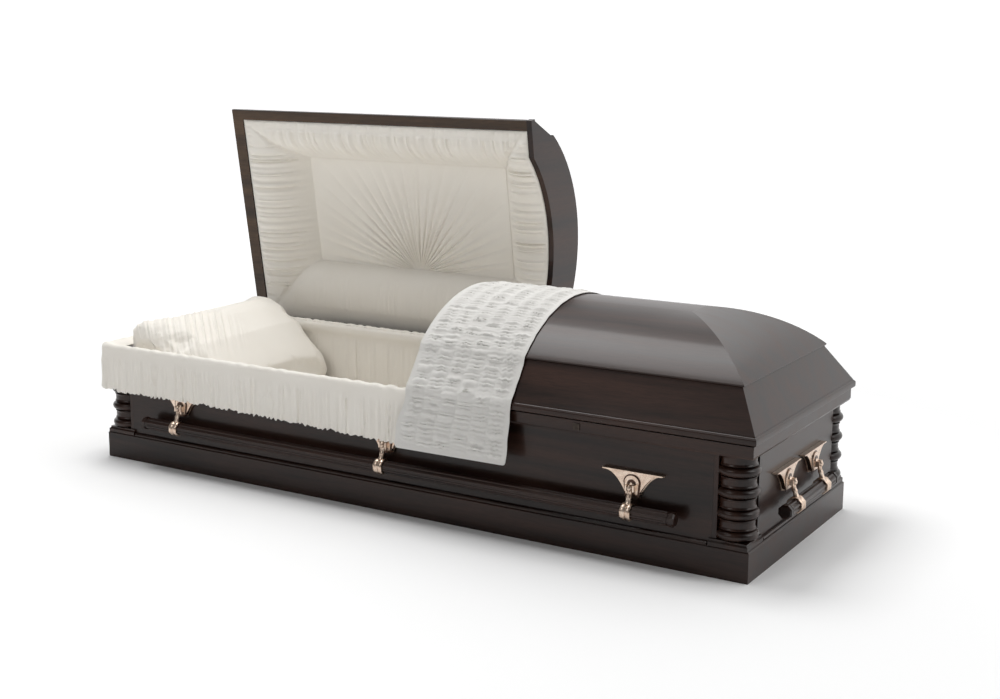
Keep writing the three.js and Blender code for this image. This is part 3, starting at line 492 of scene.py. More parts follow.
@dataclass
class Studio:
    """Floor, light and the camera at the photograph's viewpoint.

    Attributes:
        eye: Camera place in metres.
        pitch: Degrees below the level.
        yaw: Degrees to the left of the depth axis.
        lens: Focal length for a 36 mm wide picture.
        shift: Picture shift as shares of the width.
        lights: Place, size and power of each soft light.
        front_light: Strength of the world's light from the viewer's side.
    """

    eye: tuple[float, float, float] = (2.35060, -3.72377, 1.33063)
    pitch: float = 10.995
    yaw: float = 32.48
    lens: float = 55.067
    shift: tuple[float, float] = (0.050841, -0.02496)
    lights: tuple = (
        ((-0.8, -3.6, 3.1), 1.8, 27.0),
        ((3.8, 0.4, 2.4), 1.8, 25.0),
        ((0.2, 2.8, 3.0), 2.4, 9.0),
        ((-1.0, 0.1, 4.0), 2.0, 84.0),
    )
    front_light: float = 0.10

    def build(self) -> None:
        """Add the camera, the world, the floor and the lights."""
        self.build_camera()
        self.build_world()
        self.build_floor()
        self.build_lights()

    def build_camera(self) -> None:
        """Put the camera at the photograph's viewpoint."""
        scene = bpy.context.scene
        lens = bpy.data.cameras.new("camera")
        lens.lens, lens.sensor_width = self.lens, 36.0
        lens.shift_x, lens.shift_y = self.shift
        camera = bpy.data.objects.new("camera", lens)
        camera.location = self.eye
        camera.rotation_euler = (math.radians(90 - self.pitch), 0.0, math.radians(self.yaw))
        scene.collection.objects.link(camera)
        scene.camera = camera

    def build_world(self) -> None:
        """Light the world, dimmer on the viewer's side."""
        scene = bpy.context.scene
        world = bpy.data.worlds.new("studio")
        scene.world = world
        world.use_nodes = True
        g = Graph(world.node_tree)
        toward = g.add("ShaderNodeTexCoord")
        parts = g.add("ShaderNodeSeparateXYZ", {"Vector": toward.outputs["Generated"]})
        fade = g.add("ShaderNodeMapRange", {"Value": parts.outputs["Y"], "From Min": -0.25, "From Max": 0.45,
                                            "To Min": self.front_light, "To Max": 1.15})
        g.feed(world.node_tree.nodes["Background"], {"Strength": 1.0, "Color": fade.outputs[0]})
        scene.view_settings.view_transform = "Standard"

    def build_floor(self) -> None:
        """Lay the floor as part of the stage."""
        floor = bpy.data.meshes.new("floor")
        floor.from_pydata([(-30, -30, 0), (30, -30, 0), (30, 30, 0), (-30, 30, 0)], [], [(0, 1, 2, 3)])
        floor.materials.append(Finish("Floor", floor_group(),
                                      constants={"Emission Strength": 0.5, "Roughness": 0.9}).build())
        ground = bpy.data.objects.new("floor", floor)
        bpy.context.scene.collection.objects.link(ground)

    def build_lights(self) -> None:
        """Hang the soft lights, each aimed at the casket."""
        for n, (where, size, power) in enumerate(self.lights):
            lamp = bpy.data.lights.new(f"soft_{n}", "AREA")
            lamp.size, lamp.energy = size, power
            light = bpy.data.objects.new(f"soft_{n}", lamp)
            light.location = where
            aim = np.array([0.0, 0.0, 0.3]) - np.array(where)
            flat = math.hypot(aim[0], aim[1])
            light.rotation_euler = (math.atan2(flat, -aim[2]), 0.0, math.atan2(aim[1], aim[0]) - math.pi / 2)
            bpy.context.scene.collection.objects.link(light)


@dataclass
class Woodwork:
    """Carcass, turned corner columns and the wooden lids.

    Attributes:
        finishes: Materials.
        axis: X and Y of the foot-front column's axis.
        foot: Height of the column's foot.
        top: Height where the column ends.
        pitch: Spacing of the rings.
        ring: Groove radius, swell and half height of a ring.
        barrel: How far a barrel's ends stand out of the groove, and how deep its middle is hollowed.
        wall: Distance from the axis to the corner post.
        plate: Inner edge, outer edge and inside face of the column's plate, from the axis.
        crown: Half width, edge height, top height and half length of the crown.
    """

    finishes: Finishes
    axis: tuple[float, float] = (1014.0, 307.0)
    foot: float = 98.0
    top: float = 313.7
    pitch: float = 54.0
    ring: tuple[float, float, float] = (41.0, 14.0, 11.5)
    barrel: tuple[float, float] = (6.5, 2.5)
    wall: float = 35.7
    plate: tuple[float, float, float] = (-55.0, 49.0, 40.3)
    crown: tuple[float, float, float, float] = (299.0, 480.0, 601.0, 1017.0)

    def dress_nodes(self) -> None:
        """Give every wooden and steel node its material."""
        across = ("panel_head", "panel_foot", "header")
        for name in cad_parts:
            obj = bpy.data.objects.get(name)
            if obj is None:
                continue
            if "hinge" in name or "latch" in name:
                finish = self.finishes.bronze
            elif "corner_post" in name:
                finish = self.finishes.wood[Grain.HEIGHT]
            elif any(word in name for word in across):
                finish = self.finishes.wood[Grain.WIDTH]
            else:
                finish = self.finishes.wood[Grain.LENGTH]
            for holder in obj.material_slots:
                holder.material = finish

    def column_radius(self, z: np.ndarray) -> np.ndarray:
        """Outline of a column: round rings, tight grooves and hollowed barrels.

        Args:
            z: Heights in millimetres.

        Returns:
            The radius at each height.
        """
        half = self.pitch / 2
        from_ring = (z - self.foot - half / 2 + half) % self.pitch - half
        away = np.abs(from_ring)
        groove, swell, reach = self.ring
        shoulder, hollow = self.barrel
        ring = groove + swell * np.sqrt(np.clip(1.0 - (away / reach) ** 2, 0.0, 1.0)) ** 0.8
        barrel = groove + shoulder * smooth_step(away, 12.5, 14.5) - hollow * smooth_step(away, 14.5, 21.0)
        return np.where(away < reach, ring, barrel)

    def build_columns(self) -> None:
        """Turn the four columns and set them on their plates."""
        sides = 96
        heights = np.arange(self.foot - 3.0, self.top + 0.1, 1.2)
        angles = np.linspace(0, math.tau, sides, endpoint=False)
        limit = np.full(sides, 1e9)
        for reach in (-np.cos(angles), np.sin(angles)):
            limit = np.where(reach > 1e-6, np.minimum(limit, self.wall / np.maximum(reach, 1e-6)), limit)
        rings = []
        for z, radius in zip(heights, self.column_radius(heights)):
            r = np.minimum(radius, limit)
            rings.append(np.stack([r * np.cos(angles), r * np.sin(angles), np.full(sides, z)], 1))
        inner, outer, face = self.plate
        plan = [(inner, -outer), (outer, -outer), (outer, -inner), (face, -inner), (face, self.wall),
                (-self.wall, self.wall), (-self.wall, -face), (inner, -face)]
        levels = ((80.3, 0.0), (90.0, 0.0), (94.0, 4.0), (98.0, 4.0))
        plate = []
        for z, inset in levels:
            plate.append(np.array([(min(x, outer - inset), max(y, inset - outer), z) for x, y in plan]))
        points, faces = merge(tube(rings), tube(plate))
        corners = (("foot_front", 1, -1), ("foot_back", 1, 1), ("head_back", -1, 1), ("head_front", -1, -1))
        for quarter, (name, sx, sy) in enumerate(corners):
            c, s = round(math.cos(quarter * math.pi / 2)), round(math.sin(quarter * math.pi / 2))
            spun = points.copy()
            spun[:, 0] = points[:, 0] * c - points[:, 1] * s + sx * self.axis[0]
            spun[:, 1] = points[:, 0] * s + points[:, 1] * c + sy * self.axis[1]
            place(f"turned_column_{name}", (spun, faces), self.finishes.wood[Grain.HEIGHT], "walnut",
                  Body.CASKET, (f"column_{name}",), sharp=32.0)

    def crown_skin(self, cut: float, side: int) -> Skin:
        """Arched crown of one lid with hips at its end.

        Args:
            cut: X of the open end.
            side: 1 for the foot lid, -1 for the head lid.

        Returns:
            Points and faces in the closed pose.
        """
        width, edge, top, length = self.crown
        rise = top - edge
        radius = (width ** 2 + rise ** 2) / (2 * rise)
        centre, thick, base = top - radius, 14.0, 474.3
        outer = [(width - 2.5, base), (width, base + 2.0), (width, edge - 1.5)]
        start = math.asin(width / radius)
        outer += [(radius * math.sin(start * (1 - k / 44)), centre + radius * math.cos(start * (1 - k / 44)))
                  for k in range(45)]
        low = math.asin(math.sqrt((radius - thick) ** 2 - (base - centre) ** 2) / (radius - thick))
        turns = [low * (1 - k / 12) for k in range(13)]
        inner = [((radius - thick) * math.sin(a), centre + (radius - thick) * math.cos(a)) for a in turns]
        offset = length - width
        levels = outer + inner[::-1]
        grid = np.array([[(cut, -h, z), (side * (h + offset), -h, z), (side * (h + offset), h, z),
                          (cut, h, z)] for h, z in levels])
        count = len(levels)
        index = np.arange(count * 4).reshape(count, 4)
        faces: Faces = []
        for k in range(count):
            n = (k + 1) % count
            if k == len(outer) - 1:
                continue
            faces += [tuple(index[[k, k, n, n], [c, c + 1, c + 1, c]]) for c in range(3)]
        for k in range(len(outer) - 1):
            mate = count - 1 - round(k * (len(inner) - 1) / (len(outer) - 1))
            after = count - 1 - round((k + 1) * (len(inner) - 1) / (len(outer) - 1))
            for c in (0, 3):
                ring = [index[k, c], index[k + 1, c], index[after, c]]
                if mate != after:
                    ring.append(index[mate, c])
                faces.append(tuple(ring if c == 0 else ring[::-1]))
        return grid.reshape(-1, 3), [tuple(int(n) for n in face) for face in faces]

    def build_crowns(self) -> None:
        """Fit a smooth crown on each lid."""
        for body, side, cut, turn in LIDS:
            points, faces = self.crown_skin(cut, side)
            crown = place(f"{body.value}_vault", (turned(points, turn), faces),
                          self.finishes.wood[Grain.LENGTH], "walnut", body, (f"{body.value}_crown",),
                          sharp=9.0)
            work = bmesh.new()
            work.from_mesh(crown.data)
            bmesh.ops.remove_doubles(work, verts=work.verts, dist=1e-5)
            bmesh.ops.recalc_face_normals(work, faces=work.faces)
            if work.calc_volume(signed=True) < 0:
                bmesh.ops.reverse_faces(work, faces=work.faces)
            work.to_mesh(crown.data)
            work.free()

    def build(self) -> None:
        """Dress the carcass and build what is turned or curved."""
        self.dress_nodes()
        self.build_columns()
        self.build_crowns()


@dataclass
class Rims:
    """Boards that frame the underside of each lid.

    Attributes:
        finishes: Materials.
        half: Half width and half length of the frame.
        levels: Underside and top.
        boards: Width of the side and end boards.
        back_board: Width of the head lid's back board, which the cloth covers in part.
    """

    finishes: Finishes
    half: tuple[float, float] = (371.5, 1081.0)
    levels: tuple[float, float] = (352.0, 373.0)
    boards: tuple[float, float] = (33.0, 44.0)
    back_board: float = 16.5

    def build(self) -> None:
        """Sweep both frames, with a paler underside."""
        y, x = self.half
        low, top = self.levels
        edge = [(1.5, 0.0), (0.4, 1.2), (0.0, 3.5), (0.0, 12.5), (0.8, 15.5), (3.0, 18.0), (5.0, 19.4),
                (5.5, 21.0)]
        section = [(y - d, x - d, low + up) for d, up in edge]
        section += [(y - self.boards[0], x - self.boards[1], level) for level in (top, low)]
        for body, side, cut, turn in LIDS:
            back = [(h if n < len(edge) or body is Body.FOOT_LID else y - self.back_board, e, z)
                    for n, (h, e, z) in enumerate(section)]
            rows = [[(cut, -h, z) for h, _, z in section], [(side * e, -h, z) for h, e, z in section],
                    [(side * e, h, z) for h, e, z in back], [(cut, h, z) for h, _, z in back]]
            points, faces = tube([turned(np.array(row), turn) for row in rows])
            frame_piece = place(f"{body.value}_frame", (points, faces), self.finishes.wood[Grain.LENGTH],
                                "walnut", body, (f"{body.value}_rim",), sharp=28.0)
            frame_piece.data.materials.append(self.finishes.inner_wood)
            down = turned(np.array([[0.0, HINGE[0], HINGE[1] - 1.0]]), turn)[0] - np.array([0.0, *HINGE])
            for face in frame_piece.data.polygons:
                if np.dot(np.array(face.normal), down) > 0.9:
                    face.material_index = 1


@dataclass
class LidLining:
    """Padded cloth inside a lid: four shirred rolls around a panel pleated in rays.

    Attributes:
        finishes: Materials.
        body: Lid that carries it.
        turn: Opening angle at rest.
        outer: Low X, high X, front Y and back Y of the cloth's edge.
        panel: Low X, high X, front Y and back Y of the panel.
        nodes: CAD nodes that it stands for.
        burst_x: X where the rays of the panel meet.
        rays: Number of rays.
        eye: Radius of the plain middle where the rays meet.
        rib: Greatest height of a ray.
        fullness: Swell of the low-X, high-X, front and back rolls.
        arch: Top height and radius of the header's arch.
        back_edge: Height of the cloth's back edge.
        step: Spacing of the grid.
        rim: Height of its other edges.
        ceiling: Height of the panel.
        shirring: Pitch, seed, sharpness and depth of the folds of those four rolls.
        bolster: Inset and width of the back roll's round ends, and the power of its profile.
        inside_rails: Half length and half width of the opening between the rails.
        inside_posts: Half length and half width between the corner posts.
    """

    finishes: Finishes
    body: Body
    turn: float
    outer: tuple[float, float, float, float]
    panel: tuple[float, float, float, float]
    nodes: tuple[str, ...]
    burst_x: float = -425.0
    rays: int = 28
    eye: float = 12.0
    rib: float = 7.5
    fullness: tuple[float, float, float, float] = (16.0, 18.0, 18.0, 4.0)
    arch: tuple[float, float] = (437.0, 430.0)
    back_edge: float = 350.6
    step: float = 4.3
    rim: float = 356.0
    ceiling: float = 438.0
    shirring: tuple = ((17.5, 3, 0.6, 15.0), (17.0, 5, 0.6, 15.0), (15.5, 7, 0.6, 11.0), (12.0, 9, 0.8, 3.0))
    bolster: tuple[float, float, float] = (14.0, 70.0, 2.6)
    inside_rails: tuple[float, float] = (1014.0, 308.0)
    inside_posts: tuple[float, float] = (946.0, 240.0)

    def height(self, x: np.ndarray, y: np.ndarray) -> np.ndarray:
        """Height of the cloth over the lid's plan, with the lid closed.

        Args:
            x: X of each point.
            y: Y of each point.

        Returns:
            The heights.
        """
        x0, x1, y0, y1 = self.outer
        px0, px1, py0, py1 = self.panel
        t = np.stack([(x - x0) / (px0 - x0), (x1 - x) / (x1 - px1),
                      (y - y0) / (py0 - y0), (y1 - y) / (y1 - py1)])
        side = np.argmin(t, 0)
        share = np.clip(np.min(t, 0), 0.0, 1.0)
        along = np.where(side < 2, y, x)
        top, radius = self.arch
        arch = np.maximum(top - radius + np.sqrt(np.clip(radius ** 2 - y ** 2, 0, None)), self.rim)
        at_cut = 0 if self.body is Body.FOOT_LID else 1
        edge = np.where(side == at_cut, arch - 4.0, self.rim)
        edge = np.where(side == 3, self.back_edge, edge)
        bulge = np.sin(math.pi * share)
        depth = np.choose(side, self.fullness)
        inset, width, power = self.bolster
        rise = np.choose(side, [share ** 2.4, share ** 2.2, share ** 2.4, 1 - np.sqrt(1 - share ** power)])
        z = edge + (self.ceiling - edge) * rise - depth * bulge
        ends = 1.0 - (np.minimum(x - x0, x1 - x) - inset) / width
        bolster = np.clip(np.maximum(t[3], ends), 0.0, 1.0)
        bolster = self.ceiling - (self.ceiling - self.back_edge) * np.sqrt(1 - bolster ** power)
        folds = np.choose(side, [pleats(along, *row[:3]) for row in self.shirring])
        strength = np.choose(side, [row[3] for row in self.shirring])
        outer_share = 1.0 - smooth_step(share, 0.7, 1.0) * 0.8
        seam = np.sort(t, 0)
        crease = smooth_step(seam[1] - seam[0], 0.0, 0.12)
        z -= (folds - 0.4) * strength * outer_share * smooth_step(share, 0.0, 0.10) * (0.35 + 0.65 * crease)
        z += 9.0 * (1 - crease) * (share < 0.98) * bulge
        z = np.minimum(z, bolster)
        z = np.where(share >= 1.0, self.ceiling, z)
        (rail_x, rail_y), (post_x, post_y) = self.inside_rails, self.inside_posts
        over_rail = (np.abs(y) > rail_y) | (np.abs(x) > rail_x)
        over_rail |= (np.abs(y) > post_y) & (np.abs(x) > post_x)
        return np.where(over_rail, np.maximum(z, RAIL_CLEAR), z)

    def build(self) -> None:
        """Hang the cloth and its pleated panel in the lid."""
        x0, x1, y0, y1 = self.outer
        xs = np.linspace(x0, x1, round((x1 - x0) / self.step))
        ys = np.linspace(y0, y1, round((y1 - y0) / self.step))
        x, y = np.meshgrid(xs, ys, indexing="ij")
        z = self.height(x, y)
        front = turned(np.stack([x, y, z], -1), self.turn)
        wood = np.minimum(373.3 + (349.5 - np.abs(y)) * 1.418, 373.3 + (1059.0 - np.abs(x)) * 1.598) - 3.0
        behind = np.minimum(np.maximum(z + 5.0, self.ceiling - 6.0), np.maximum(wood, z + 1.5))
        back = turned(np.stack([x, y, behind], -1), self.turn)
        cushion(f"{self.body.value}_cloth", shell(front, back), self.finishes, self.body, self.nodes)
        self.build_burst()

    def build_burst(self) -> None:
        """Pleat the panel in rays that meet behind the back roll."""
        px0, px1, py0, py1 = self.panel
        cx, cy = self.burst_x, py1 + 14.0
        angle = np.linspace(0.02, math.pi - 0.02, self.rays * 12)[:, None]
        across, up = np.cos(angle), np.sin(angle)
        side = np.where(across > 0, px1 - 2.0 - cx, cx - px0 - 2.0) / np.maximum(np.abs(across), 1e-3)
        far = np.minimum(side, (cy - py0 - 2.0) / up)
        share = np.linspace(0.0, 1.0, 30)[None, :]
        radius = self.eye + (far - self.eye) * share
        wave = np.sin(self.rays * angle + 0.45 * wander(angle * 7.0, 21))
        rib = (np.sqrt(wave ** 2 + 0.03) - 0.17) / 0.85
        swell = self.rib * smooth_step(radius, self.eye, 70.0) * (1 - 0.8 * smooth_step(radius, 120.0, 420.0))
        z = self.ceiling - 2.0 - rib * swell * (1 - smooth_step(share, 0.94, 1.0))
        x, y = cx + radius * across, cy - radius * up
        front = turned(np.stack([x, y, z], -1), self.turn)
        back = turned(np.stack([x, y, np.full_like(z, self.ceiling - 0.4)], -1), self.turn)
        cushion(f"{self.body.value}_sunburst", shell(front, back), self.finishes, self.body, self.nodes)


@dataclass
class Bedding:
    """Shirred wall lining, mattress and head pillow.

    Attributes:
        finishes: Materials.
        wall: Half length, half width, and the corner posts' half length and half width.
        rail_top: Height of the lining's top edge.
        floor: Height where the lining starts.
        bed: Half length, half width, underside and top of the mattress.
        tufts: Number of tufts along its length and width.
        tuft_depth: Depth of the valleys between them.
        bed_edge: How far the mattress falls at its edges.
        pleat_pitch: Mean spacing of the wall lining's folds.
        pillow: X, height and half width of the head pillow's middle.
    """

    finishes: Finishes
    wall: tuple[float, float, float, float] = (1034.0, 327.0, 965.7, 258.7)
    rail_top: float = 348.5
    floor: float = 80.3
    bed: tuple[float, float, float, float] = (938.0, 308.0, 19.3, 164.5)
    tufts: tuple[int, int] = (9, 4)
    tuft_depth: float = 9.0
    bed_edge: float = 26.0
    pleat_pitch: float = 13.0
    pillow: tuple[float, float, float] = (-860.0, 290.0, 306.0)

    @staticmethod
    def outline(end: float, side: float, post_x: float, post_y: float) -> np.ndarray:
        """Closed plan of the inside, with its four corner posts cut out.

        Args:
            end: Half length.
            side: Half width.
            post_x: Half length between the posts.
            post_y: Half width between the posts.

        Returns:
            Corners, n by 2, the first one again at the end.
        """
        half = [(post_x, -side), (post_x, -post_y), (end, -post_y), (end, post_y), (post_x, post_y),
                (post_x, side)]
        return np.array(half + [(-x, -y) for x, y in half] + half[:1])

    def path(self, inset: float, count: int) -> np.ndarray:
        """Plan of the wall lining at an inset.

        Args:
            inset: Distance from the wall.
            count: Points along the whole path.

        Returns:
            Points, n by 2.
        """
        base = self.outline(*(v - inset for v in self.wall))
        run = self.outline(*self.wall)
        lengths = running_length(run)
        at = np.linspace(0, lengths[-1], count, endpoint=False)
        return np.stack([np.interp(at, lengths, base[:, 0]), np.interp(at, lengths, base[:, 1]), at], 1)

    def build_walls(self) -> None:
        """Hang the pleated lining on the walls, with a smooth roll at its top."""
        count, thick = 1180, 12.0
        back_path, front_path = self.path(0.3, count), self.path(thick, count)
        heights = np.concatenate([np.linspace(self.floor, 318.0, 16),
                                  np.linspace(321.0, self.rail_top - 1.5, 10)])
        at = back_path[:, 2][:, None]
        z = heights[None, :]
        fold = pleats(back_path[:, 2], self.pleat_pitch, 31, 0.7)[:, None]
        roll = np.sqrt(np.clip(1 - ((z - 333.0) / 16.0) ** 2, 0, 1))
        hang = 1 - smooth_step(z, 308.0, 322.0)
        depth = 0.30 + 0.42 * fold * hang + 0.55 * roll + 0.05 * np.sin(at / 90.0)
        plan = back_path[:, None, :2] * (1 - depth[..., None]) + front_path[:, None, :2] * depth[..., None]
        lift = np.broadcast_to(z, depth.shape)
        front = np.concatenate([plan, lift[..., None]], -1)
        back = np.concatenate([np.broadcast_to(back_path[:, None, :2], plan.shape), lift[..., None]], -1)
        for inset in (1.5, -9.0):
            lip = self.path(inset, count)[:, :2]
            front, back = (
                np.concatenate([grid, np.insert(lip, 2, self.rail_top + level, 1)[:, None]], 1)
                for grid, level in ((front, 0.4), (back, -1.2)))
        cushion("wall_lining", shell(front, back, loop=True), self.finishes, Body.CASKET,
                ("body_lining",))

    def build_rail_pad(self) -> None:
        """Lay a thin pad on the back rail, which the closed head lid presses flat."""
        along = np.arange(64.0, -1032.0, -6.0)
        lift = 1.0 + 0.2 * wander(along / 30.0, 33)
        section = ((334.5, 0.1), (361.0, 0.1), (361.5, 2.5), (356.0, 5.5), (347.0, 6.8), (338.0, 5.5),
                   (334.0, 2.5))
        rings = [np.array([(x, y, 347.0 + up * (swell if up > 1.0 else 1.0)) for y, up in section])
                 for x, swell in zip(along, lift)]
        strip = cushion("back_rail_pad", tube(rings), self.finishes, Body.CASKET, ("body_lining",), 60.0)
        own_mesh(strip)

    def build_bed(self) -> None:
        """Lay the tufted mattress."""
        x1, y1, low, top = self.bed
        u = np.linspace(-1, 1, 190)
        v = np.linspace(-1, 1, 70)
        x, y = np.meshgrid(u, v, indexing="ij")
        edge = np.maximum(np.abs(x) ** 26, np.abs(y) ** 10)
        along, across = self.tufts
        tuft = np.abs(np.sin(x * along * math.pi / 2) * np.sin(y * across * math.pi / 2)) ** 0.5
        z = top - self.bed_edge * edge - self.tuft_depth * (1 - tuft) * (1 - edge)
        front = np.stack([x * x1, y * y1, z], -1)
        back = np.stack([x * x1, y * y1, np.full_like(x, low)], -1)
        cushion("bed_pad", shell(front, back), self.finishes, Body.CASKET, ("mattress",), 80.0)

    @staticmethod
    def inflate(piece: bpy.types.Object, reach: float = 16.0) -> np.ndarray:
        """Args:
            piece: The object.
            reach: Largest move in millimetres.

        Returns:
            The moved points, n by 3.
        """
        start = read_points(piece)
        cloth = piece.modifiers.new("cloth", "CLOTH")
        cloth.settings.use_pressure = True
        cloth.settings.uniform_pressure_force = 4.0
        cloth.settings.effector_weights.gravity = 0.0
        for step in range(1, 21):
            bpy.context.scene.frame_set(step)
        bake(piece)
        bpy.context.scene.frame_set(1)
        move = read_points(piece) - start
        far = np.linalg.norm(move, axis=1, keepdims=True)
        return start + move * np.minimum(1.0, reach / np.maximum(far, 1e-6))

    @staticmethod
    def gather(points: np.ndarray) -> np.ndarray:
        """Fold the pillow's near corner and keep the pillow within its room.

        Args:
            points: Points in millimetres, n by 3.

        Returns:
            The folded points.
        """
        x, y, z = points.T
        share = smooth_step(-y, -80.0, 150.0) * smooth_step(-x, 720.0, 830.0) * smooth_step(z, 200.0, 300.0)
        folds = pleats(x + 0.9 * y + 0.25 * z, 17.0, 41, 0.8) * share * 10.0
        out = np.array([0.35, -0.15, 0.92])
        points = points + out * folds[:, None] - out * 5.0 * share[:, None]
        return np.clip(points, (-1023.0, -313.0, 165.5), (np.inf, 313.0, 436.0))

    def build_pillow(self) -> None:
        """Inflate the wedge pillow and gather its near corner."""
        outline = [(-1006, 172), (-682, 170), (-668, 196), (-692, 247), (-738, 298), (-790, 356), (-868, 406),
                   (-930, 430), (-986, 434), (-1017, 412), (-1022, 350), (-1020, 250)]
        mid_x, mid_z, half = self.pillow
        rings = []
        for share, size in ((-1, 0.92), (-0.97, 0.97), (-0.9, 1.0), (0.87, 1.0), (0.96, 0.96), (1, 0.88)):
            rings.append(np.array([(mid_x + (x - mid_x) * size, share * half, mid_z + (z - mid_z) * size)
                                   for x, z in outline]))
        piece = place("head_pillow", tube(rings), self.finishes.crepe, "crepe", Body.CASKET, ("pillow",),
                      80.0)
        remesh = piece.modifiers.new("remesh", "REMESH")
        remesh.mode, remesh.voxel_size = "VOXEL", 0.0065
        bake(piece)
        write_points(piece, self.inflate(piece))
        finer = piece.modifiers.new("finer", "SUBSURF")
        finer.levels = finer.render_levels = 1
        bake(piece)
        write_points(piece, self.gather(read_points(piece)))
        piece.data.shade_smooth()
        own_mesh(piece)

    def build(self) -> None:
        """Make the whole bed."""
        self.build_walls()
        self.build_rail_pad()
        self.build_bed()
        self.build_pillow()


def bake(piece: bpy.types.Object) -> None:
    """Apply all modifiers of a piece to its mesh.

    Args:
        piece: The object to bake.
    """
    graph = bpy.context.evaluated_depsgraph_get()
    mesh = bpy.data.meshes.new_from_object(piece.evaluated_get(graph))
    piece.modifiers.clear()
    piece.data = mesh


def read_points(piece: bpy.types.Object) -> np.ndarray:
    """Vertices of a piece.

    Args:
        piece: The object.

    Returns:
        Points in millimetres, n by 3.
    """
    points = np.empty(len(piece.data.vertices) * 3)
    piece.data.vertices.foreach_get("co", points)
    return points.reshape(-1, 3) / MM


def write_points(piece: bpy.types.Object, points: np.ndarray) -> None:
    """Move the vertices of a piece.

    Args:
        piece: The object.
        points: Points in millimetres, n by 3.
    """
    piece.data.vertices.foreach_set("co", (points * MM).ravel())


@dataclass
class Apron:
    """Gathered cloth over the front rail and around the head end, with a padded roll on top.

    Attributes:
        finishes: Materials.
        end_x: X of the free end at the front.
        reach: X and Y of the rail's outer faces.
        back_y: Y where it ends on the head end.
        top: Height of the rail's top.
        hung: Height where the cloth starts, under the roll.
        stand: How far the cloth stands off the rail.
        fold: Pitch and depth of its folds.
        frill: Pitch and depth of the smaller folds near its hem.
    """

    finishes: Finishes
    end_x: float = 75.0
    reach: tuple[float, float] = (1072.0, 362.5)
    back_y: float = 300.0
    top: float = 347.0
    hung: float = 350.0
    stand: float = 7.6
    fold: tuple[float, float] = (15.0, 7.5)
    frill: tuple[float, float] = (8.5, 4.6)

    def path(self, out: float, step: float = 3.2) -> tuple[np.ndarray, np.ndarray]:
        """Plan of the path around the corner at a distance outside the rail.

        Args:
            out: Distance outwards from the rail's face.
            step: Spacing of the points.

        Returns:
            Points, n by 2, and the distance along the rail at each.
        """
        x, y = self.reach
        count = round((self.end_x + x + self.back_y + y) / step)
        at = np.linspace(0.0, self.end_x + x + self.back_y + y, count)
        turn = self.end_x + x
        ease = 16.0
        front = np.stack([self.end_x - at, np.full_like(at, -y - out)], 1)
        side = np.stack([np.full_like(at, -x - out), at - turn - y], 1)
        share = smooth_step(at, turn - ease, turn + ease)[:, None]
        corner = np.array([-x - out, -y - out]) + np.array([0.29, 0.29]) * ease
        near = np.clip(1 - np.abs(at - turn) / ease, 0, 1)[:, None]
        base = np.where(at[:, None] < turn, np.maximum(front, [-x - out, -9e9]), side)
        return base * (1 - near * share * (1 - share) * 4) + corner * near * share * (1 - share) * 4, at

    def hem(self, at: np.ndarray) -> np.ndarray:
        """Height of the hem along the apron, uneven as gathered cloth hangs.

        Args:
            at: Distance from the free end.

        Returns:
            Heights.
        """
        marks = [(0, 206), (84, 208), (364, 216), (731, 223), (1068, 219), (1130, 226), (1500, 222)]
        return np.interp(at, *zip(*marks)) + 2.0 * wander(at / 60.0, 51) + 2.6 * wander(at / 13.0, 52)

    def build(self) -> None:
        """Make the roll and the hanging cloth."""
        base, at = self.path(0.0)
        (pitch, depth), (frill_pitch, frill_depth) = self.fold, self.frill
        fold = pleats(at, pitch, 53, 0.85)
        drift = 6.0 * wander(at / 70.0, 54)
        plan, _ = self.path(1.0)
        normal = (plan - base) / np.linalg.norm(plan - base, axis=1, keepdims=True)
        low = self.hem(at)
        grid = []
        for share in np.linspace(0.0, 1.0, 34):
            z = self.hung - (self.hung - low) * share
            swell = smooth_step(share, 0.10, 0.34)
            frill = smooth_step(share, 0.80, 1.0)
            lean = np.interp(at + drift * share, at, fold)
            out = self.stand + 0.4 * swell + depth * (lean - 0.35) * swell
            out = out + frill_depth * frill * (pleats(at, frill_pitch, 55) - 0.3)
            grid.append(np.concatenate([base + normal * out[:, None], z[:, None]], 1))
        front = np.stack(grid, 1)
        inside = np.concatenate([front[..., :2] - normal[:, None, :] * 1.2, front[..., 2:]], -1)
        apron = place("gathered_apron", shell(front, inside), self.finishes.crepe, "crepe", Body.CASKET,
                      ("apron",), 80.0)
        section = [(-35.8, -3.0), (-38.5, -3.0), (-39.5, 2.0), (-34.0, 6.0), (-27.0, 9.5), (-16.0, 14.0),
                   (-6.0, 17.0), (2.0, 16.6), (6.4, 12.5), (8.2, 6.5), (8.4, 2.0), (6.2, 2.0), (2.0, 1.6),
                   (0.0, 0.6), (-35.2, 0.6)]
        swell = 1.0 + 0.10 * wander(at / 45.0, 56) + 0.05 * fold
        rings = []
        for k in range(0, len(at), 2):
            rings.append(np.array([(*(base[k] + normal[k] * d * (1 if d < 0 else swell[k])),
                                    self.top + up * (swell[k] if up > 3 else 1)) for d, up in section]))
        roll = cushion("apron_roll", tube(rings), self.finishes, Body.CASKET, ("apron",), 60.0)
        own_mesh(roll)


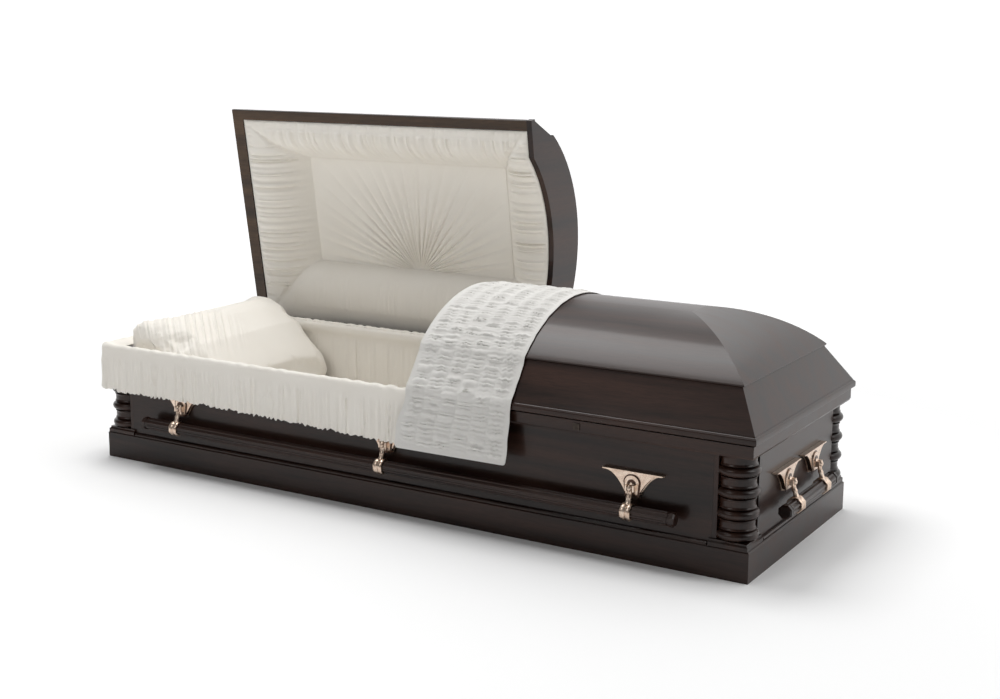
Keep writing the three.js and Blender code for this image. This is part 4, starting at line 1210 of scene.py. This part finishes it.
@dataclass
class Throw:
    """Shirred throw over the foot lid.

    Attributes:
        finishes: Materials.
        start: X of its edge at the cut.
        width: Width along X.
        seams: Number of shirred rows.
        border: Width of the plain hem.
        crown: Half width, rise and top height of the arch under it.
        fold: Pitch and height of the folds of a row.
        tuck: Pitch and height of the small tucks at the seams.
        lie: Distance of the cloth from the lid.
        flare: How far the hanging front corner swings along X and outwards.
        thick: Thickness of the cloth.
    """

    finishes: Finishes
    start: float = 79.5
    width: float = 329.3
    seams: int = 6
    border: float = 12.0
    crown: tuple[float, float, float] = (299.0, 121.0, 601.0)
    fold: tuple[float, float] = (13.0, 8.0)
    tuck: tuple[float, float] = (6.2, 2.2)
    lie: float = 2.4
    flare: tuple[float, float] = (18.0, 5.0)
    thick: float = 1.3

    def contour(self) -> np.ndarray:
        """Path from the front hem over the lid to the back skirt.

        Returns:
            Points, n by 2, as Y and Z, evenly spaced.
        """
        half, rise, top = self.crown
        radius = (half ** 2 + rise ** 2) / (2 * rise)
        start = math.asin(half / radius)
        turns = [start * (1 - k / 30) for k in range(61)]
        arc = [(-radius * math.sin(a), top - radius + radius * math.cos(a)) for a in turns]
        knots = [(-397, 207), (-393, 232), (-386, 280), (-378, 325), (-374.5, 348), (-373.5, 366),
                 (-369.5, 376), (-352, 396), (-326, 432), (-307, 460), (-301.5, 474), *arc, (301, 478),
                 (300, 470), (322, 440), (357.5, 389)]
        line = np.array(knots, dtype=float)
        run = running_length(line)
        at = np.linspace(0, run[-1], 380)
        return np.stack([np.interp(at, run, line[:, 0]), np.interp(at, run, line[:, 1]), at], 1)

    def build(self) -> None:
        """Lay the throw over the lid, with a plain hem along its border."""
        line = self.contour()
        normal = np.stack([-np.gradient(line[:, 1]), np.gradient(line[:, 0])], 1)
        normal /= np.linalg.norm(normal, axis=1, keepdims=True)
        normal = np.stack([np.convolve(np.pad(part, 4, "edge"), np.ones(9) / 9, "valid")
                           for part in normal.T], 1)
        across = np.linspace(0, self.width, 112)
        s, x = np.meshgrid(line[:, 2], across, indexing="ij")
        inner = (x - self.border) / (self.width - 2 * self.border) * self.seams
        row = np.clip(np.floor(inner), 0, self.seams - 1).astype(int)
        puff = np.abs(np.sin(math.pi * (inner - row))) ** 0.8
        folds = np.zeros_like(s)
        for k in range(self.seams):
            here = row == k
            tilt = 1.5 * wander(x / 20.0 + s / 60.0, 70 + k)
            folds[here] = pleats(s + tilt, self.fold[0], 80 + 3 * k, 0.8)[here]
        tucks = pleats(s, self.tuck[0], 61, 0.9) * (1 - puff) * self.tuck[1]
        hem = smooth_step(x, self.border - 2, self.border + 4)
        hem = hem * smooth_step(self.width - x, self.border - 2, self.border + 4)
        hem = hem * smooth_step(s, self.border, self.border + 8)
        rise = self.lie + hem * (self.fold[1] * folds * puff + tucks) + (1 - hem) * 1.6
        edge_wave = 0.5 * wander(s / 40.0, 91) * (1 - smooth_step(np.minimum(x, self.width - x), 0, 30))
        round_off = np.clip(9.0 - np.minimum(x, self.width - x), 0, 9)
        lift = np.where(s < 30, 9.0 - np.sqrt(np.clip(81.0 - round_off ** 2, 0, None)), 0.0) * (1 - s / 30)
        y = line[:, 0][:, None] + normal[:, 0][:, None] * rise
        z = line[:, 1][:, None] + normal[:, 1][:, None] * rise + np.maximum(lift, 0)
        spread = (1 - smooth_step(s, 60.0, 140.0)) * (1 - x / self.width)
        y = y - self.flare[1] * spread
        front = np.stack([self.start + x + edge_wave * (x > 40) - self.flare[0] * spread, y, z], -1)
        under = np.stack([front[..., 0], y - normal[:, 0][:, None] * self.thick,
                          z - normal[:, 1][:, None] * self.thick], -1)
        piece = place("shirred_throw", shell(front, under), self.finishes.throw, "throw", Body.FOOT_LID,
                      ("overlay",), 80.0)


@dataclass
class Handles:
    """Swing-bar handles with their lugs.

    Attributes:
        finishes: Materials.
        pivot: How far out and how high the pivot is.
        bar: How far out and how high the bar is.
    """

    finishes: Finishes
    pivot: tuple[float, float] = (25.0, 197.0)
    bar: tuple[float, float] = (36.0, 139.0)

    @staticmethod
    def ball(radius: float, centre: tuple[float, float, float],
             squash: tuple[float, float, float]) -> Skin:
        """A round knob.

        Args:
            radius: Its radius.
            centre: Its middle.
            squash: Share of the radius along each axis.

        Returns:
            Points and faces.
        """
        rings = []
        for lat in np.linspace(-1.45, 1.45, 12):
            turn = np.linspace(0, math.tau, 20, endpoint=False)
            unit = np.stack([math.cos(lat) * np.cos(turn), math.cos(lat) * np.sin(turn),
                             np.full(20, math.sin(lat))], 1)
            rings.append(unit * radius * np.array(squash) + np.array(centre))
        return tube(rings)

    @staticmethod
    def slab(outline: list[tuple[float, float]], near: float, far: float, inset: float = 0.0) -> Skin:
        """Plate with an outline in X and Z that stands out from a wall.

        Args:
            outline: Corners of the plate.
            near: Y of its back.
            far: Y of its face.
            inset: How much smaller the face is, as a share.

        Returns:
            Points and faces.
        """
        flat = np.array(outline)
        middle = flat.mean(0)
        face = middle + (flat - middle) * (1 - inset)
        return tube([np.array([(x, y, z) for x, z in ring]) for y, ring in ((near, flat), (far, face))])

    def lug(self) -> tuple[Skin, int]:
        """Winged backplate with raised edges, an arch and a socket.

        Returns:
            The skin and the number of its faces that are dark recesses.
        """
        t = np.linspace(0, 1, 15)
        x = 83.0 - 64.0 * t ** 0.72
        z = 233.0 - 59.0 * t ** 1.5
        right = list(zip(x, z))
        outline = [(-84.0, 237.0), (84.0, 237.0), *right, *[(-px, pz) for px, pz in right[::-1]]][::-1]
        flange = self.slab(outline, -0.4, -2.6, 0.01)
        block = self.slab([(px * 0.93, pz + (237.0 - pz) * 0.06) for px, pz in outline], -2.6, -13.0, 0.0)
        turn = np.linspace(0, math.pi, 15)
        arch = [(22 * math.cos(a), 209 + 20 * math.sin(a)) for a in turn] + [(-18, 174), (18, 174)]
        groove = self.slab([(px * 1.09, 205 + (pz - 205) * 1.06) for px, pz in arch], -12.0, -13.6)
        boss = self.slab(arch, -4.0, -16.6, 0.12)
        well = self.slab([(px * 0.56, 203 + (pz - 203) * 0.56) for px, pz in arch], -12.0, -17.3)
        edges = []
        for sign in (-1, 1):
            path = [np.array((sign * px, -2.6, pz)) for px, pz in right]
            ring = [(math.cos(a) * 1.9, math.sin(a) * 1.9)
                    for a in np.linspace(0, math.tau, 8, endpoint=False)]
            edges.append(tube([p + np.array([(sign * u * 0.7, v, u * 0.7) for u, v in ring]) for p in path]))
        ledge = self.slab([(-83.5, 234.4), (83.5, 234.4), (83.5, 237.2), (-83.5, 237.2)], -0.4, -15.2)
        socket = self.ball(11.0, (0.0, -17.0, self.pivot[1] + 2), (1.0, 0.6, 1.0))
        ears = [self.slab([(s * 7.8, 189), (s * 12.5, 189), (s * 12.5, 205), (s * 7.8, 205)],
                          -12.0, -30.0, 0.05) for s in (-1, 1)]
        face_last = (block[0], block[1][:1] + block[1][2:] + block[1][1:2])
        # These faces take the dark metal: antique patina plus painted shade of the groove and well, which are
        # drawn as thin dark slabs instead of hollows.
        dark = merge(groove, well, face_last)
        return merge(dark, flange, boss, ledge, *edges, socket, *ears), len(dark[1]) - 1

    def arm(self) -> Skin:
        """Waisted arm from the pivot knob to the clasp on the bar.

        Returns:
            Points and faces.
        """
        (po, pz), (bo, bz) = self.pivot, self.bar
        rings = []
        for t in np.linspace(0, 1, 16):
            y = -po - (bo - po) * t ** 1.4
            z = pz + 3 - (pz + 3 - bz - 20) * t
            r = 6.2 + 2.4 * abs(2 * t - 1) ** 2 + 1.8 * math.exp(-((t - 0.6) / 0.08) ** 2)
            turn = np.linspace(0, math.tau, 14, endpoint=False)
            rings.append(np.stack([r * np.cos(turn), y + r * 0.9 * np.sin(turn), np.full(14, z)], 1))
        knob = self.ball(9.8, (0.0, -po - 2.0, pz), (0.71, 1.0, 1.0))
        clasp = []
        angles = [(k + 0.5) * math.tau / 8 for k in range(8)]
        profile = [(-14, 18.4), (-14, 21.4), (-11, 23.4), (-2.6, 22.6), (0, 20.4), (2.6, 22.6), (11, 23.4),
                   (14, 21.4), (14, 18.4)]
        for a in angles:
            clasp.append(np.array([(x, -bo + r * math.cos(a), bz + r * math.sin(a)) for x, r in profile]))
        points, faces = tube(clasp)
        faces = faces[2:]
        size = len(profile)
        last = (len(angles) - 1) * size
        faces += [(last + i, last + (i + 1) % size, (i + 1) % size, i) for i in range(size)]
        return merge((points, faces), tube(rings), knob)

    def rail(self, length: float) -> Skin:
        """Grooved eight-sided bar with stepped end caps.

        Args:
            length: Whole length.

        Returns:
            Points and faces.
        """
        half = length / 2
        steps = ((0.0, 15.0, 0), (3.5, 19.4, 0), (14.0, 19.4, 0), (16.0, 16.6, 0), (18.5, 16.6, 0),
                 (19.5, 18.0, 0), (24.0, 18.0, 0), (28.0, 18.0, 1))
        ends = [(half - inward, r, g) for inward, r, g in steps]
        stations = ends + [(-x, r, g) for x, r, g in ends[::-1]]
        flutes = ((0.0, 0), (0.05, 0), (0.24, 0), (0.31, 1), (0.69, 1), (0.76, 0), (0.95, 0))
        rings = []
        for x, r, groove in stations:
            ring = []
            for k in range(8):
                a, b = (k - 0.5) * math.tau / 8, (k + 0.5) * math.tau / 8
                p, q = np.array([math.cos(a), math.sin(a)]) * r, np.array([math.cos(b), math.sin(b)]) * r
                for share, deep in flutes:
                    point = p + (q - p) * share
                    point = point * (1 - 0.085 * deep * groove)
                    ring.append((x, -self.bar[0] + point[0], self.bar[1] + point[1]))
            rings.append(np.array(ring))
        return tube(rings)

    @staticmethod
    def set_out(skin: Skin, quarter: int, along: float, face: float) -> Skin:
        """Shift a skin to its spot on the front and turn it to its side.

        Args:
            skin: Points and faces, as for the middle of the front.
            quarter: Quarter turns anticlockwise from the front.
            along: Distance along the side.
            face: Distance of the side's face from the middle.

        Returns:
            Points and faces.
        """
        p = skin[0] + np.array([along, -face, 0.0])
        c, s = (1, 0, -1, 0)[quarter], (0, 1, 0, -1)[quarter]
        return np.stack([p[:, 0] * c - p[:, 1] * s, p[:, 0] * s + p[:, 1] * c, p[:, 2]], 1), skin[1]

    def build(self) -> None:
        """Place the four handles and their lugs."""
        lug, dark = self.lug()
        arm = self.arm()
        long_side, short_side = ((-754, 0, 754), 1770, 347), ((-98, 98), 362, 1054)
        sides = (("front", Body.FRONT, 0, long_side), ("back", Body.BACK, 2, long_side),
                 ("foot", Body.FOOT, 1, short_side), ("head", Body.HEAD, 3, short_side))
        for name, body, quarter, (spots, length, face) in sides:
            for n, along in enumerate(spots, 1):
                casting = self.set_out(lug, quarter, along, face)
                piece = place(f"lug_casting_{name}_{n}", casting, self.finishes.copper, "copper",
                              Body.CASKET, (f"lug_{name}_{n}",), sharp=40.0)
                piece.data.materials.append(self.finishes.patina_and_painted_shade)
                # The dark metal on the recess faces is antique patina plus painted shade.
                for polygon in piece.data.polygons[:dark]:
                    polygon.material_index = 1
                casting = self.set_out(arm, quarter, along, face)
                place(f"arm_casting_{name}_{n}", casting, self.finishes.copper, "copper", body,
                      (f"arm_{name}_{n}",), sharp=40.0)
            bar = self.set_out(self.rail(length), quarter, 0.0, face)
            place(f"grooved_bar_{name}", bar, self.finishes.wood[Grain.LENGTH], "walnut_bar", body,
                  (f"bar_{name}",), sharp=22.0)


@dataclass
class Fittings:
    """Mouldings and screws that follow a line, made with Geometry Nodes."""

    finishes: Finishes

    @staticmethod
    def start_tree(name: str, number: dict[str, str]) -> tuple:
        """Start a tree that takes a line, some numbers and a finish.

        Args:
            name: Tree name.
            number: Socket type of each number, by its label.

        Returns:
            The graph, its input node and the line as a curve.
        """
        tree = bpy.data.node_groups.new(name, "GeometryNodeTree")
        for label, kind in {"Line": "Geometry", **number, "Finish": "Material"}.items():
            tree.interface.new_socket(label, in_out="INPUT", socket_type=f"NodeSocket{kind}")
        tree.interface.new_socket("Geometry", in_out="OUTPUT", socket_type="NodeSocketGeometry")
        g = Graph(tree)
        given = g.add("NodeGroupInput")
        return g, given, g.add("GeometryNodeMeshToCurve", {0: given.outputs["Line"]})

    @staticmethod
    def end_tree(g: Graph, given: bpy.types.Node, last: bpy.types.Node) -> bpy.types.NodeTree:
        """Realize a tree's geometry and give it the finish.

        Args:
            g: Graph of the tree.
            given: Its input node.
            last: Node whose geometry comes out.

        Returns:
            The node tree.
        """
        real = g.add("GeometryNodeRealizeInstances", {0: last.outputs[0]})
        done = g.add("GeometryNodeSetMaterial", {"Geometry": real.outputs[0],
                                                 "Material": given.outputs["Finish"]})
        g.add("NodeGroupOutput", {0: done.outputs[0]})
        return g.tree

    def copies_tree(self) -> bpy.types.NodeTree:
        """Domes set at even spacing along a line.

        Returns:
            The node tree.
        """
        g, given, curve = self.start_tree("Copies along a line", {"Spacing": "Float", "Size": "Vector"})
        even = g.add("GeometryNodeResampleCurve", {"Curve": curve.outputs[0],
                                                   "Length": given.outputs["Spacing"]}, mode="LENGTH")
        dome = g.add("GeometryNodeMeshUVSphere", {"Segments": 12, "Rings": 8, "Radius": 1.0})
        set_on = g.add("GeometryNodeInstanceOnPoints", {"Points": even.outputs[0], "Instance": dome.outputs[0],
                                                        "Scale": given.outputs["Size"]})
        return self.end_tree(g, given, set_on)

    def moulding_tree(self) -> bpy.types.NodeTree:
        """Half-round moulding swept along a line.

        Returns:
            The node tree.
        """
        g, given, curve = self.start_tree("Moulding along a line", {"Radius": "Float"})
        profile = g.add("GeometryNodeCurvePrimitiveCircle", {"Resolution": 16,
                                                             "Radius": given.outputs["Radius"]})
        swept = g.add("GeometryNodeCurveToMesh",
                      {"Curve": curve.outputs[0], "Profile Curve": profile.outputs[0], "Fill Caps": True})
        return self.end_tree(g, given, swept)

    def grow(self, name: str, tree: bpy.types.NodeTree, lines: list[np.ndarray], values: dict, slot: str,
             body: Body) -> None:
        """Run a tree on some lines and keep the result as a plain piece.

        Args:
            name: Piece name.
            tree: Node tree to run.
            lines: Paths in millimetres, each n by 3.
            values: The tree's inputs by name.
            slot: Not used.
            body: Body that carries the piece.
        """
        points = np.vstack(lines) * MM
        edges, start = [], 0
        for line in lines:
            edges += [(start + n, start + n + 1) for n in range(len(line) - 1)]
            start += len(line)
        mesh = bpy.data.meshes.new(name)
        mesh.from_pydata(points.tolist(), edges, [])
        piece = bpy.data.objects.new(name, mesh)
        bpy.context.scene.collection.objects.link(piece)
        modifier = piece.modifiers.new("grow", "NODES")
        modifier.node_group = tree
        for item in tree.interface.items_tree:
            if item.item_type == "SOCKET" and item.in_out == "INPUT" and item.name in values:
                modifier[item.identifier] = values[item.name]
        bake(piece)
        piece.data.shade_smooth()
        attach(piece, body.value)
        log.info("%s: %d faces on %s", name, len(piece.data.polygons), body.value)

    def build(self) -> None:
        """Add the shoe mouldings and the hinge screws."""
        moulding = self.moulding_tree()
        foot = [np.array([(-955.0, y, 83.0), (955.0, y, 83.0)]) for y in (-349.0, 349.0)]
        foot += [np.array([(x, -245.0, 83.0), (x, 245.0, 83.0)]) for x in (-1056.0, 1056.0)]
        shoe = {"Radius": 0.0065, "Finish": self.finishes.wood[Grain.LENGTH]}
        self.grow("shoe_moulding", moulding, foot, shoe, "walnut", Body.CASKET)
        copies = self.copies_tree()
        screw = {"Spacing": 0.078, "Size": (0.0034, 0.0016, 0.0034), "Finish": self.finishes.bronze}
        spans = (("head", Body.HEAD_LID, -915.0, -85.0, OPEN_DEGREES),
                 ("foot", Body.FOOT_LID, 245.0, 915.0, 0.0))
        for name, body, low, high, turn in spans:
            line = np.array([(low, 366.1, 330.0), (high, 366.1, 330.0)])
            self.grow(f"{name}_body_screws", copies, [line], screw, "steel", Body.CASKET)
            line = turned(np.array([(low, 374.9, 366.0), (high, 374.9, 366.0)]), turn)
            self.grow(f"{name}_lid_screws", copies, [line], screw, "steel", body)


def main() -> None:
    """Build the studio and the casket."""
    logging.basicConfig(level=logging.INFO, format="%(message)s")
    finishes = Finishes()
    Studio().build()
    Woodwork(finishes).build()
    Rims(finishes).build()
    LidLining(finishes, Body.HEAD_LID, OPEN_DEGREES, (-1036.5, 66.8, -338.0, 354.5),
              (-835.0, -66.0, -198.0, 166.0), ("head_lid_roll", "head_lid_cap")).build()
    LidLining(finishes, Body.FOOT_LID, 0.0, (106.4, 1036.5, -338.0, 338.0), (240.0, 835.0, -198.0, 198.0),
              ("foot_lid_lining",), burst_x=540.0, step=6.4).build()
    Bedding(finishes).build()
    Apron(finishes).build()
    Throw(finishes).build()
    Handles(finishes).build()
    Fittings(finishes).build()


if __name__ == "__main__":
    main()
